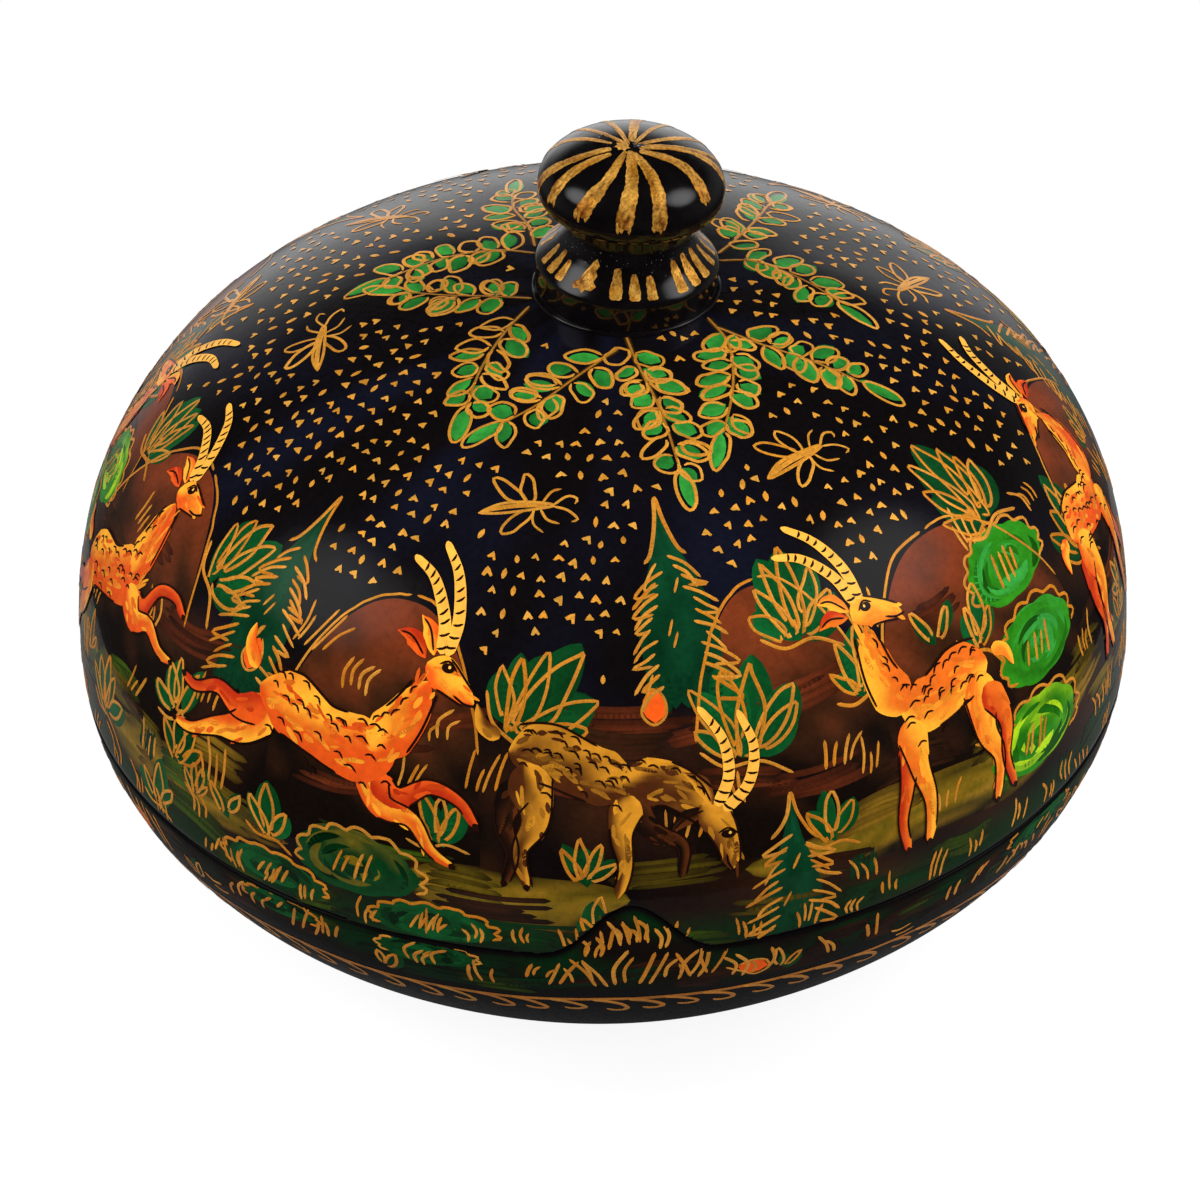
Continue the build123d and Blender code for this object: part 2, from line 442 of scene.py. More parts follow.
def brush_end(t, length, width):
    """Share of full width along a stroke with a rounded start and a tapering end."""
    return np.maximum(rounded(t, length, width, 0.04, 0.5, 0.02, 0.9), 0.12)


def round_ends(t, length, width):
    return rounded(t, length, width, 0.05, 0.45, 0.05, 0.45)


def oval_width(t, length, width):
    """Share of full width along a leaf-shaped daub."""
    return np.maximum(np.sin(pi * np.clip(t, 0.0, 1.0)) ** 0.6, 0.03)


def stroke(coat, sheet, points, width, colour, lift, ridge=0.0, columns=3, taper=brush_end, step=0.55):
    """A brush stroke along the points. width is one number, or several along the stroke."""
    path = sheet.on_chart(curve(points, step / sheet.size))
    narrow = sheet.narrowing(path)
    t = np.linspace(0, 1, len(path))
    tangent = np.gradient(path, axis=0)
    tangent[:, 0] *= narrow
    length = np.hypot(*tangent.T).sum()
    tangent = unit(tangent)
    widths = along_stroke(t, width) if np.ndim(width) else np.full(len(path), float(width))
    widths = widths * sheet.size
    if taper:
        widths = widths * taper(t, length, widths.max())
    side = np.stack([tangent[:, 1] / narrow, -tangent[:, 0]], -1)
    c = np.linspace(-1, 1, columns)
    places = path[:, None] + side[:, None] * (widths[:, None] / 2 * c)[..., None]
    rise = lift + ridge * (1 - c**2) * (widths / widths.max())[:, None]
    found, normals = sheet.on_skin(places, rise)
    if ridge:
        across = unit(found[:, -1] - found[:, 0])
        tilt = np.clip(2 * ridge / np.maximum(widths, 0.2), 0, 0.5)
        normals = unit(normals + across[:, None] * (c * tilt[:, None])[..., None])
    paint = colour(t[:, None] + 0 * c, c + 0 * t[:, None]) if callable(colour) else np.asarray(colour)
    coat.add(found, normals, paint, len(path), columns)


LINE_SHARE = 0.76  # width of the fine brush's lines against the widths given


def gold_line(coat, sheet, points, width=0.55, shade=1.0):
    """A gold brush line, fuller at its start, browner where the paint ran thin."""
    worn = vary(0.0, 0.5)
    tone = mix(GARDEN_GOLD if coat in (gold, bowl_gold) else GOLD, PALE_GOLD, vary(0, 0.4)) * shade
    points = [(x + vary(-0.08, 0.08), y + vary(-0.08, 0.08)) for x, y in points]
    seed = vary(0, 9)

    def colour(t, c):
        thin = worn * t + 0.25 * np.maximum(wobble(t * 9 + seed, c, 1.0), 0)
        return mix(tone, DULL_GOLD * shade, thin)

    stroke(coat, sheet, points, width * LINE_SHARE * vary(0.85, 1.15), colour, GOLD_LIFT, ridge=0.05)


def daub(coat, sheet, points, width, colour, lift, edge=None):
    """A leaf-shaped daub of paint, a little darker or lighter towards one side."""
    seed = vary(0, 9)
    other = colour * 0.55 if edge is None else edge
    side = 1 if seed > 4 else -1

    def shade(t, c):
        return mix(colour, other, 0.45 + 0.4 * c * side + 0.3 * wobble(t * 3, c, 0.5, seed))

    stroke(coat, sheet, points, width, shade, lift, columns=5, taper=oval_width, step=0.9)


def blob(coat, sheet, centre, edge, colour, lift, rings):
    """A patch of paint filled from its centre out to its edge points."""
    centre, edge = np.asarray(centre, float), np.asarray(edge, float)
    share = np.linspace(0.02, 1, rings)[:, None, None]
    local = centre + (edge - centre)[None] * share
    found, normals = sheet.on_skin(sheet.on_chart(local), lift)
    share = np.broadcast_to(share[..., 0], local.shape[:2])
    paint = colour(share, local[..., 0], local[..., 1]) if callable(colour) else colour
    coat.add(found, normals, paint, rings, len(edge), closed=True)


def band(coat, sheet, xs, low, high, colour, lift, rows):
    """A strip of paint between two lines over xs."""
    t = np.linspace(0, 1, rows)[:, None]
    y = low * (1 - t) + high * t
    local = np.stack([np.broadcast_to(xs, y.shape), y], -1)
    found, normals = sheet.on_skin(sheet.on_chart(local), lift)
    coat.add(found, normals, colour(local[..., 0], local[..., 1], t + 0 * y), rows, len(xs))


# --- Shells
def peak_over(x):
    """Height of the seam's ogee above the seam, at x to the side of the front."""
    rise = (1 + np.cos(pi * np.clip(x / PEAK_HALF_WIDTH, -1, 1))) / 2
    return PEAK_HEIGHT * rise**PEAK_POWER


def peak_at(turn):
    return peak_over(EQUATOR * np.radians(turn))


def seam_height(turn, radius):
    """Height of the seam at a turn: the peak stands only at the front."""
    turn = wrapped(np.asarray(turn, float))
    return SEAM + np.where(np.abs(turn) < 60, peak_over(radius * np.sin(np.radians(turn))), 0.0)


# Turns of a shell mesh's columns, closer together round the peak.
SHELL_TURNS = np.r_[np.linspace(-13, 13, 79)[:-1], np.linspace(13, 347, 456)[:-1]]
POLE_GAP = 0.02  # how near the shells' rings of points come to the crown


def shell_mesh(name, body, rows, inner_rows, colour, below):
    """Bowl or lid: outer skin, rounded lip along the seam and inner skin, as one closed shell."""
    columns, down = len(SHELL_TURNS), -1 if below else 1

    def skin_rises(skin, edge, far, count):
        start = skin.rise_at(edge + down * LIP_ROUND)
        t = np.linspace(0, 1, count)[:, None]
        return start * (1 - t) + far * t

    edge, inner_edge = (seam_height(SHELL_TURNS, radius) for radius in (EQUATOR, EQUATOR - WALL))
    rises = skin_rises(shell, edge, shell.rise_at(BASE_ROUND) if below else shell.top - POLE_GAP, rows)
    far_in = inner.rise[0] + 1.0 if below else inner.top - POLE_GAP
    out_point = shell.place(SHELL_TURNS, shell.rise_at(edge))
    in_point = inner.place(SHELL_TURNS, inner.rise_at(inner_edge))
    inward = unit(in_point - out_point)
    lip = []
    for corner, way, angles in ((out_point, inward, (30, 60, 90)), (in_point, -inward, (90, 60, 30))):
        for angle in angles:
            cut, drop = LIP_ROUND * (1 - cos(radians(angle))), LIP_ROUND * (1 - sin(radians(angle)))
            lip.append(corner + way * cut + [0, 0, down * drop])
    inner_points = inner.place(SHELL_TURNS, skin_rises(inner, inner_edge, far_in, inner_rows))
    grid = np.concatenate([shell.at(SHELL_TURNS, rises)[0][::-1], lip, inner_points])
    count = len(grid)
    faces = grid_quads(count, columns)[:, :: -down].tolist()
    points = grid.reshape(-1, 3)
    paint = np.tile(BLACK, (count, columns, 1))
    paint[:rows] = colour(SHELL_TURNS, rises)[::-1]
    paint = paint.reshape(-1, 3)
    last, base = (count - 1) * columns, count * columns
    ring = np.arange(columns)
    if below:
        # The flat base and floor: a ring at the foot, a small one in its middle and one on the floor.
        foot = grid[0] * [1, 1, 0] - unit(grid[0] * [1, 1, 0]) * BASE_ROUND * 0.6
        floor_ring = inner.place(SHELL_TURNS, inner.rise[0]) * [0.1, 0.1, 1]
        points = np.vstack([points, foot, foot * [0.1, 0.1, 0], floor_ring])
        after = (ring + 1) % columns
        for start, end in ((base, 0), (base + columns, base), (last, base + 2 * columns)):
            faces += np.stack([start + ring, start + after, end + after, end + ring], -1).tolist()
        faces += [(base + columns + ring)[::-1].tolist(), (base + 2 * columns + ring).tolist()]
        paint = np.vstack([paint, np.tile(BLACK, (3 * columns, 1))])
    else:
        faces += [ring.tolist(), (last + ring)[::-1].tolist()]
    made = mesh_object(name, points, faces, BOWL_LACQUER if below else LACQUER, None, paint)
    made.data.materials.append(INSIDE)
    inside_from = (rows + len(lip) - 1) * columns
    for face in made.data.polygons:
        if min(face.vertices) >= inside_from and (not below or max(face.vertices) < base):
            face.material_index = 1
    return dressed(made, body)


def ring_noise(turn, rise, size, seed):
    """Smooth noise that closes on itself round the box."""
    a = np.radians(turn)
    return wobble(EQUATOR * np.sin(a) + 0.6 * rise, EQUATOR * np.cos(a) - rise, size, seed)


def lid_ground(turn, rise):
    """Black sky with navy patches, dark earth behind the garden and green dark by the seam, and painted shade
    darker than the black along the seam's groove.
    """
    colour = mix(BLACK, NAVY, 0.25 + 0.9 * ring_noise(turn, rise, 17, 1.0))
    earth = mix(EARTH, UMBER, 0.3 + 0.6 * ring_noise(turn, rise, 9, 2.0))
    earth = mix(earth, BLACK, 0.3 + 0.6 * ring_noise(turn, rise, 14, 4.0))
    colour = mix(colour, earth, (37 - rise) / 6)
    colour = mix(colour, DARK_LEAF * 0.45, np.clip((7 - rise) / 5, 0, 0.8))
    # Painted shade: within a millimetre of the seam the colour goes darker than black, for the shadow in the
    # groove between lid and bowl.
    return mix(colour, BLACK * 0.6, (0.9 - rise + peak_at(wrapped(turn))) / 0.6)


def bowl_ground(turn, rise):
    """Dark green and brown by the seam, plain black lower down, and painted shade darker than the black along
    the seam's groove.
    """
    near = mix(EARTH, DARK_LEAF * 0.45, 0.35 + 0.9 * ring_noise(turn, rise, 8, 5.0))
    near = mix(near, BLACK, (-4.5 - rise) / 5)
    # Painted shade: within a millimetre of the seam the colour goes darker than black, for the shadow in the
    # groove between bowl and lid.
    return mix(near, BLACK * 0.6, (rise - (peak_at(wrapped(turn)) - 1.0)) / 0.6)


# --- The coats
greens = Coat("lid_foliage_paint", "lid", "lid_lacquer", LACQUER)
hills = Coat("lid_landscape_paint", "lid", "lid_lacquer", LACQUER)
figures = Coat("lid_animal_paint", "lid", "lid_lacquer", FUR_PAINT)
ink = Coat("lid_ink_lines", "lid", "lid_lacquer", LACQUER)
gold = Coat("lid_gold_garden_lines", "lid", "lid_lacquer", GILT)
sky_gold = Coat("lid_gold_sky_marks", "lid", "lid_lacquer", GILT)
spray_gold = Coat("lid_gold_spray_lines", "lid", "lid_lacquer", GILT)
bowl_greens = Coat("bowl_foliage_paint", "bowl", "bowl_lacquer", BOWL_LACQUER)
bowl_gold = Coat("bowl_gold_lines", "bowl", "bowl_lacquer", GILT)
knob_gold = Coat("knob_gold_leaf", "lid", "knob_gilding", LEAF_GILT)

# How far each kind of paint stands above the skin.
HILL_LIFT, MEADOW_LIFT, GREEN_LIFT = 0.014, 0.021, 0.034
GOLD_LIFT, FIGURE_LIFT, INK_LIFT = 0.048, 0.115, 0.175


# --- Motifs
def rotated(point, angle):
    """A point turned about the origin by an angle in degrees."""
    a = radians(angle)
    return np.array([point[0] * cos(a) - point[1] * sin(a), point[0] * sin(a) + point[1] * cos(a)])


def petal(coats, where, root, tip, width, green, kind="oval"):
    """A leaf: a daub of green and, a little off it, a gold loop that doesn't quite close."""
    fill, gilt = coats
    root, tip = np.asarray(root, float), np.asarray(tip, float)
    way = tip - root
    side = np.array([way[1], -way[0]]) / max(hypot(*way), 1e-6)
    if kind == "oval":
        slip = np.array([vary(-0.6, 0.6), vary(-0.6, 0.6)])
        fill_width, start, end = width * vary(0.8, 1.1), 0.02, vary(0.86, 1.04)
        places = [(0.0, -0.2), (0.18, -0.85), (0.5, -1.05), (0.82, -0.8), (1.03, 0.05), (0.84, 0.85)]
        places += [(0.5, 1.05), (0.16, 0.8), (-0.04, vary(-0.4, 0.3))]
    else:
        slip = np.array([vary(-1.0, 1.0), vary(-1.0, 0.8)])
        fill_width, start, end = width * vary(1.25, 1.7), -0.12, vary(0.92, 1.1)
        foot = vary(-0.1, 0.1)
        places = [(foot + 0.06, -0.4), (foot, -0.7), (0.38, -0.95), (0.74, -0.7), (1.0, -0.05)]
        places += [(0.95, 0.25), (0.62, 0.8), (0.28, 0.85), (0.0, 0.3), (-0.04, 0.1 - vary(0, 0.6))]
    tone = green * vary(0.85, 1.15)
    if fill:
        ends = [root + way * start + slip, root + way * 0.5 + slip, root + way * end + slip]
        daub(fill, where, ends, fill_width, tone, GREEN_LIFT)
    side = side * (width / 2)
    points = [root + way * (u + vary(-0.05, 0.05)) + side * (v + vary(-0.16, 0.16)) for u, v in places]
    gold_line(gilt, where, points, 0.6 * vary(0.9, 1.1))


def clump(where, leaves, reach, spread, green, sweep=True, coats=(greens, gold)):
    """A fan of long leaves that rise from one foot, perhaps with a sweeping gold line under it."""
    for i in range(leaves):
        share = i / (leaves - 1)
        angle = 90 + spread * (0.5 - share) + vary(-7, 7)
        long = reach * (1.05 - 0.26 * abs(2 * share - 1)) * vary(0.86, 1.14)
        root = rotated((reach * vary(0.08, 0.3), 0), angle) + [0, -reach * 0.08]
        petal(coats, where, root, rotated((long, 0), angle), long * vary(0.27, 0.36), green, "blade")
    if sweep:
        foot = [(-0.62 * reach, 0.05 * reach), (-0.3 * reach, -0.13 * reach), (0.15 * reach, -0.1 * reach)]
        gold_line(coats[1], where, [*foot, (0.55 * reach, -0.3 * reach)], 0.6)


def grass(where, blades, height, lean, gap=1.2, coat=gold, width=0.56):
    """A few gold blades side by side."""
    x = -gap * (blades - 1) / 2
    bow = vary(-0.9, 0.9)
    for i in range(blades):
        h = height * vary(0.6, 1.2)
        a = lean + (i - (blades - 1) / 2) * vary(3, 8) + vary(-7, 7)
        top = rotated((0, h), -a)
        middle = rotated((bow * h / 5, h * 0.5), -a * 0.5)
        foot = vary(-0.5, 0.5)
        blade = [(x, foot), (x + middle[0], middle[1] + foot), (x + top[0], top[1] + foot)]
        gold_line(coat, where, blade, width)
        x += gap * vary(0.6, 1.45)


def bud(where, size=4.6, coats=(greens, gold)):
    """An orange bud with a gold loop and a stalk."""
    fill, line = coats
    middle = [(0, -size / 2), (0.1, 0), (0.25, size / 2)]
    daub(fill, where, middle, size * 0.72, BUD, GREEN_LIFT + 0.01, ORANGE)
    h = size * 0.42
    points = [(0.2, size * 0.9), (-h * 0.5, size * 0.3), (-h, -size * 0.2), (-h * 0.2, -size * 0.55)]
    points += [(h * 0.8, -size * 0.35), (h * 0.9, size * 0.1), (h * 0.35, size * 0.5)]
    gold_line(line, where, points, 0.55)


SCALLOPS = 9  # of a bush's gold edge


def bush(where, width, height, green, light, flat=0.35, strokes=4, coats=(greens, gold)):
    """A round bush: scalloped gold edge, brushed greens and a few gold blades in the middle."""
    fill, line = coats
    seed = vary(0, 9)

    def outline(angles, far):
        """Points at angles round the bush, which is flatter below its middle."""
        x, y = np.cos(angles) * width / 2 * far, np.sin(angles) * height / 2 * far
        return np.stack([x, np.where(y < 0, y * (1 - flat), y)], -1)

    def colour(share, x, y):
        angle = np.arctan2(y, x)
        brush = 0.5 + 0.5 * np.sin(share * 13 + 1.6 * np.sin(angle * 2 + seed) + seed)
        swirl = wobble(x + 3 * seed, y, 3.2, seed)
        tone = mix(green * 0.35, green, 0.25 + 0.55 * share + 0.35 * brush + 0.3 * swirl)
        sun = np.clip(0.75 - np.abs(angle - 1.2 - 0.4 * sin(seed)) / 1.7 + 0.35 * swirl, 0, 1)
        return mix(tone, light, sun * (0.35 + 0.65 * brush) * np.clip(share * 2.2 - 0.7, 0, 1))

    a = np.linspace(0, 2 * pi, 73)[:-1]
    bumps = 1.06 + 0.07 * np.abs(np.sin(a * SCALLOPS / 2 + seed)) + 0.04 * np.sin(3 * a + seed)
    blob(fill, where, (0, 0), outline(a, bumps), colour, GREEN_LIFT, 13)
    for i in range(24):
        share, at, turned = vary(0.2, 0.94), vary(0, 2 * pi), vary(0.7, 1.9)
        path = outline(at + np.linspace(0, turned, 5), share)
        tone = pick([green * 0.3, green * 0.55, green, mix(green, light, 0.6), light, light * 1.1])
        daub(fill, where, path, vary(0.7, 1.6), tone, GREEN_LIFT + 0.003 + 0.0005 * i, tone * 0.8)
    start, end = radians(-22 + vary(-22, 8)), radians(205 + vary(-14, 25))
    t = np.linspace(start, end, SCALLOPS * 6)
    puff = 1.06 + 0.15 * np.abs(np.sin((t - start) / (end - start) * pi * SCALLOPS + 0.3 * np.sin(t * 3)))
    shift = np.array([vary(-0.9, 0.9), vary(-0.2, 0.9)])
    gold_line(line, where, outline(t, puff) + shift, 0.62)
    for i in range(strokes):
        x = (i - (strokes - 1) / 2) * 1.5 + vary(-0.4, 0.4)
        h = height * vary(0.14, 0.34)
        gold_line(line, where, [(x - 0.9, -h * 0.5), (x - 0.2, h * 0.3), (x + 0.5, h * 0.9)], 0.6)


def conifer(where, height, width):
    """A fir: dark body, gold lines down from its tip and ragged gold boughs along both sides."""
    seed = vary(0, 9)

    def colour(t, c):
        return mix(FIR * 1.2, FIR * 0.45, 0.15 + t * 0.7 + 0.35 * wobble(t * 6, c * 2, 1.0, seed))

    widths = [width * share for share in (0.02, 0.16, 0.34, 0.62, 0.86, 1.0, 0.95, 0.9)]
    middle = [(0, height), (vary(-0.6, 0.6), height * 0.5), (0, 0)]
    stroke(greens, where, middle, widths, colour, GREEN_LIFT - 0.005, columns=9, taper=None)
    for i in range(7):
        x = width * (0.42 - 0.14 * i)
        low = -vary(0.6, 2.6)
        hem = [(x, 3.0), (x - 0.2, 0.8), (x - vary(-0.5, 0.5), low)]
        daub(greens, where, hem, 2.2, FIR * 0.8, GREEN_LIFT - 0.003)

    def edge(y):
        return along_stroke(1 - y / height, widths) / 2

    for side in (-1, 1):
        low = height * (1 - 0.26 * vary(0.85, 1.3))
        points = [(0.1 * side, height + 0.6), (side * (edge(height * 0.9) + 0.3), height * 0.88)]
        points += [(side * (edge(low) + 0.6), low + 1.0), (side * (edge(low) + 2.2), low - 0.4)]
        gold_line(gold, where, points, 0.65)
        y = low - 1.2
        while y > 0.5:
            x = edge(y)
            back, out, drop = vary(0.6, 2.4), vary(1.6, 3.8), vary(1.0, 3.0)
            bough = [(x - back, y + 0.8), (x + out * 0.3, y - drop * 0.2), (x + out, y - drop)]
            if draw.random() < 0.45:
                bough.append((x - 0.4, y - drop * 0.85))
            gold_line(gold, where, [(side * u, v) for u, v in bough], 0.6)
            y -= vary(1.25, 1.9)
    for i in range(pick([2, 3])):
        y, x = height * vary(0.18, 0.5), vary(-1.6, 1.6)
        gold_line(gold, where, [(x - 0.8, y), (x + 0.3, y + 2.2)], 0.5)


def moth(where):
    """A gold-line insect: long body, two pairs of looped wings and curling legs."""
    body = [(-6, -0.6), (-3, 0.6), (1, 0.7), (4.6, 0.1), (1, -0.5), (-3, -0.8), (-6, -0.6)]
    gold_line(sky_gold, where, body, 0.6)
    gold_line(sky_gold, where, [(-5.4, -0.3), (-1, 0.1), (3.6, 0.1)], 0.85)
    wings = ((0.5, 0.6), (-3.8, 4.6), 1.9), ((1.2, 0.5), (0.4, 5.2), 1.8), ((1.5, -0.6), (-2.4, -4.0), 1.7)
    for root, tip, width in wings:
        petal((None, sky_gold), where, root, tip, width, LEAF)
    for points in (
        [(4.4, 0.2), (6.2, 1.6), (7.6, 1.2), (7.2, 0.4)],
        [(4.4, 0.0), (6.4, -0.6), (7.8, -2.0), (6.9, -2.5)],
        [(2.6, -0.5), (3.6, -2.2), (5.4, -2.8)],
        [(1.6, -0.5), (1.8, -2.8), (3.2, -4.2)],
        [(2.8, 0.6), (4.0, 2.4), (5.4, 2.9)],
    ):
        gold_line(sky_gold, where, points, 0.46)


LEAF_LENGTH, LAST_LEAF_LENGTH, LEAF_WIDTH = 4.4, 6.6, 2.6  # of the sprays on the crown


def leaf_spray(stem, pairs):
    """A spray on the crown: thin stem, loose oval leaves to both sides and a long leaf at its tip."""
    path = curve(stem, 0.5)

    def brown(t, c):
        return mix(STEM, EARTH, 0.45 + 0.5 * np.abs(c) + 0.1 * t)

    stroke(greens, sky, stem, [1.1, 0.8, 0.4], brown, 0.03)
    gold_line(spray_gold, sky, stem, 0.42, shade=0.62)
    last = len(path) - 1
    for i in range(pairs + 1):
        for side in (-1, 1):
            share = 0.2 + 0.72 * (i + vary(-0.25, 0.25) + 0.22 * side) / pairs
            k = min(last - 1, max(1, int(share * last)))
            out = rotated(unit(path[k + 1] - path[k - 1]), side * vary(34, 76))
            root = path[k] + out * vary(0.2, 0.9)
            size = LEAF_LENGTH * vary(0.76, 1.2) * (1.0 - 0.12 * share)
            fill = None if draw.random() < 0.14 else greens
            tone = mix(LEAF, DEEP_LEAF, vary(0, 0.5))
            petal((fill, spray_gold), sky, root, root + out * size, LEAF_WIDTH * vary(0.8, 1.15), tone)
            if draw.random() < 0.2:
                out = rotated(out, vary(-20, 20))
                tip = root + out * size * 1.05
                petal((None, spray_gold), sky, root + out * 0.6, tip, LEAF_WIDTH * 0.9, tone)
    tip = path[-1] + unit(path[-1] - path[-3]) * LAST_LEAF_LENGTH
    petal((greens, spray_gold), sky, path[-1], tip, LEAF_WIDTH * 0.9, LEAF)


HILL_FOOT = 20.0


def hill_line(half, top, x):
    """Height of a hillock's back over x."""
    return HILL_FOOT + (top - HILL_FOOT) * np.maximum(1 - np.abs(x / half) ** 2.3, 0) ** 0.55


def hillock(turn, half_turn, top):
    """A brown hillock with a gold line along its back."""
    where = around(turn, 0)
    half = EQUATOR * radians(half_turn)
    xs = np.linspace(-half, half, 61)
    seed = vary(0, 9)

    def colour(x, y, t):
        drift = wobble(x + 5 * seed, y, 5, seed)
        depth = np.clip((top - y) / (top - HILL_FOOT) + 0.22 * drift, 0, 1)
        return mix(mix(SIENNA, UMBER, depth * 1.7), EARTH, depth * 2.0 - 0.9)

    low = np.full(len(xs), HILL_FOOT - 6.0)
    band(hills, where, xs, low, hill_line(half, top, xs), colour, HILL_LIFT + vary(0, 0.004), 48)
    first, last, cut = vary(-0.97, -0.8), vary(0.72, 0.95), vary(-0.1, 0.25)
    for start, end in ((first, cut), (cut + 0.06, last)):
        x = np.linspace(start, end, 16) * half
        y = hill_line(half, top, x) + 0.9 + 0.3 * np.sin(x / 3 + seed)
        gold_line(gold, where, zip(x, y), 0.48)


def meadow(turn, half_turn, low, high):
    """A strip of grass land with long streaks."""
    where = around(turn, 0)
    half = EQUATOR * radians(half_turn)
    xs = np.linspace(-half, half, 57)
    seed = vary(0, 9)
    taper = np.maximum(1 - np.abs(xs / half) ** 2.6, 0) ** 0.6
    middle = (low + high) / 2 + 0.9 * np.sin(xs / 6 + seed)
    tall = (high - low) / 2 * taper

    def colour(x, y, t):
        streak = wobble(x * 0.22 + seed, y * 1.7, 1.4, seed)
        dark = 0.12 + 0.75 * np.abs(2 * t - 1.1) ** 1.6 - 0.3 * streak
        return mix(mix(OLIVE, OCHRE, 0.4 + 0.7 * streak), EARTH, dark)

    band(hills, where, xs, middle - tall, middle + tall, colour, MEADOW_LIFT + vary(0, 0.004), 9)


def brushed(where, long, wide, tone, ground=EARTH, coat=hills, lift=MEADOW_LIFT + 0.004):
    """A dry brush mark: bristle streaks side by side that fade out at their ends."""
    bend = vary(-0.06, 0.06) * long
    count = max(3, round(wide / 0.62))
    for i in range(count):
        y = wide * ((i + draw.random()) / count - 0.5)
        start, end = -0.5 * long * vary(0.55, 1.05), 0.5 * long * vary(0.55, 1.05)
        strength = vary(0.35, 1.0)

        def colour(t, c):
            return mix(ground, tone, strength * np.sin(pi * (0.06 + 0.88 * t)) ** 0.8 * (1 - 0.3 * np.abs(c)))

        points = [(start, y), ((start + end) / 2, y + bend), (end, y + vary(-0.3, 0.3))]
        stroke(coat, where, points, vary(0.55, 1.15), colour, lift + vary(0, 0.005), step=0.9)


# --- Animals
limb_count = 0


def spine(path, widths, step):
    """A limb's middle line at even steps: points, shares, ways along, ways across and half widths."""
    fine = curve(path, step)
    t = np.linspace(0, 1, len(fine))
    way = unit(np.gradient(fine, axis=0))
    return fine, t, way, np.stack([way[:, 1], -way[:, 0]], -1), along_stroke(t, widths) / 2


def limb(where, path, widths, light, dark, side=1, ragged=0.4, bias=0.0):
    """One part of an animal: a wide stroke, light along one edge and dark along the other."""
    global limb_count
    limb_count += 1
    seed = vary(0, 9)

    def colour(t, c):
        share = 0.5 + bias + 0.5 * side * c + 0.75 * ragged * wobble(t * 4 + seed, c * 1.2, 1.3, seed)
        return mix(light, dark, share * share * (3 - 2 * np.clip(share, 0, 1)))

    lift = FIGURE_LIFT + 0.0025 * (limb_count % 16)
    stroke(figures, where, path, widths, colour, lift, columns=9, taper=round_ends, step=0.6)
    fine, _, way, across, half = spine(path, widths, 0.5)
    for _ in range(int(0.5 * half.sum() / 1.3)):
        k = draw.randrange(2, len(fine) - 2)
        c = vary(-0.72, 0.72)
        if half[k] < 0.9:
            continue
        root = fine[k] + across[k] * half[k] * c
        tip = root + rotated(way[k], vary(-24, 24)) * vary(1.0, 2.6)
        share = 0.5 + bias + 0.5 * side * c + 0.6 * vary(-0.4, 0.5)
        wide, tone = vary(0.3, 0.7), mix(light, dark, share) * vary(0.8, 1.05)
        stroke(figures, where, [root, tip], wide, tone, lift + 0.0012)


def edge_of(path, widths, side, start, end):
    """Points just inside one edge of a limb, for an ink line."""
    fine, t, _, across, half = spine(path, widths, 0.5)
    edge = fine + across * ((half - 0.06) * side)[:, None]
    return edge[(t >= start) & (t <= end)][::2]


def ink_line(where, points, width=0.3):
    if len(points) > 1:
        stroke(ink, where, points, width, INK * vary(0.7, 1.4), INK_LIFT, ridge=0.01)


def ink_edges(where, path, widths, edges, width=0.3):
    """Ink lines along a limb's edges. Each edge is its side, start and end."""
    for edge in edges:
        ink_line(where, edge_of(path, widths, *edge), width)


def fur(where, path, widths, count, start, end, reach, depth=0.25):
    """A row of short curved ticks along a limb."""
    fine, _, way, across, half = spine(path, widths, 0.4)
    for i in range(count):
        k = int((start + (end - start) * (i + vary(0.2, 0.8)) / count) * (len(fine) - 1))
        spot = fine[k] + across[k] * half[k] * (1 - depth * vary(0.6, 2.0))
        tip = spot + way[k] * reach * vary(0.7, 1.2) - across[k] * reach * 0.25
        ink_line(where, [spot, (spot + tip) / 2 + across[k] * reach * 0.28, tip], 0.26)


def horn(where, path):
    """A ringed horn, gold-yellow with black bars."""
    width, bars = 1.5, 9
    widths, tone = [width, width * 0.9, width * 0.55], mix(YELLOW, CREAM, 0.5)
    stroke(figures, where, path, widths, tone, FIGURE_LIFT + 0.045, columns=5, taper=round_ends)
    fine, _, way, across, _ = spine(path, widths, 0.3)
    for i in range(bars):
        k = int((0.06 + 0.84 * i / bars) * (len(fine) - 1))
        out = across[k] * (width * (0.52 - 0.2 * i / bars))
        ink_line(where, [fine[k] - out + way[k] * 0.3, fine[k], fine[k] + out], 0.3)


def oval(x, y, wide, tall, count):
    return [(x + cos(a) * wide, y + sin(a) * tall) for a in np.linspace(0, 2 * pi, count + 1)[:-1]]


def eye(where, x, y, size=0.9):
    blob(ink, where, (x, y), oval(x, y, size, size * 0.62, 16), INK, INK_LIFT - 0.02, 3)
    blob(figures, where, (x - 0.2, y + 0.15), oval(x - 0.2, y + 0.15, 0.2, 0.2, 8), CREAM, INK_LIFT + 0.02, 2)
    ink_line(where, [(x - size * 1.4, y - 0.1), (x, y + size * 0.85), (x + size * 1.4, y + 0.2)], 0.26)


HEAD_WIDTH, EAR_WIDTH = [3.7, 4.0, 2.9, 1.9], [0.9, 2.1, 0.3]


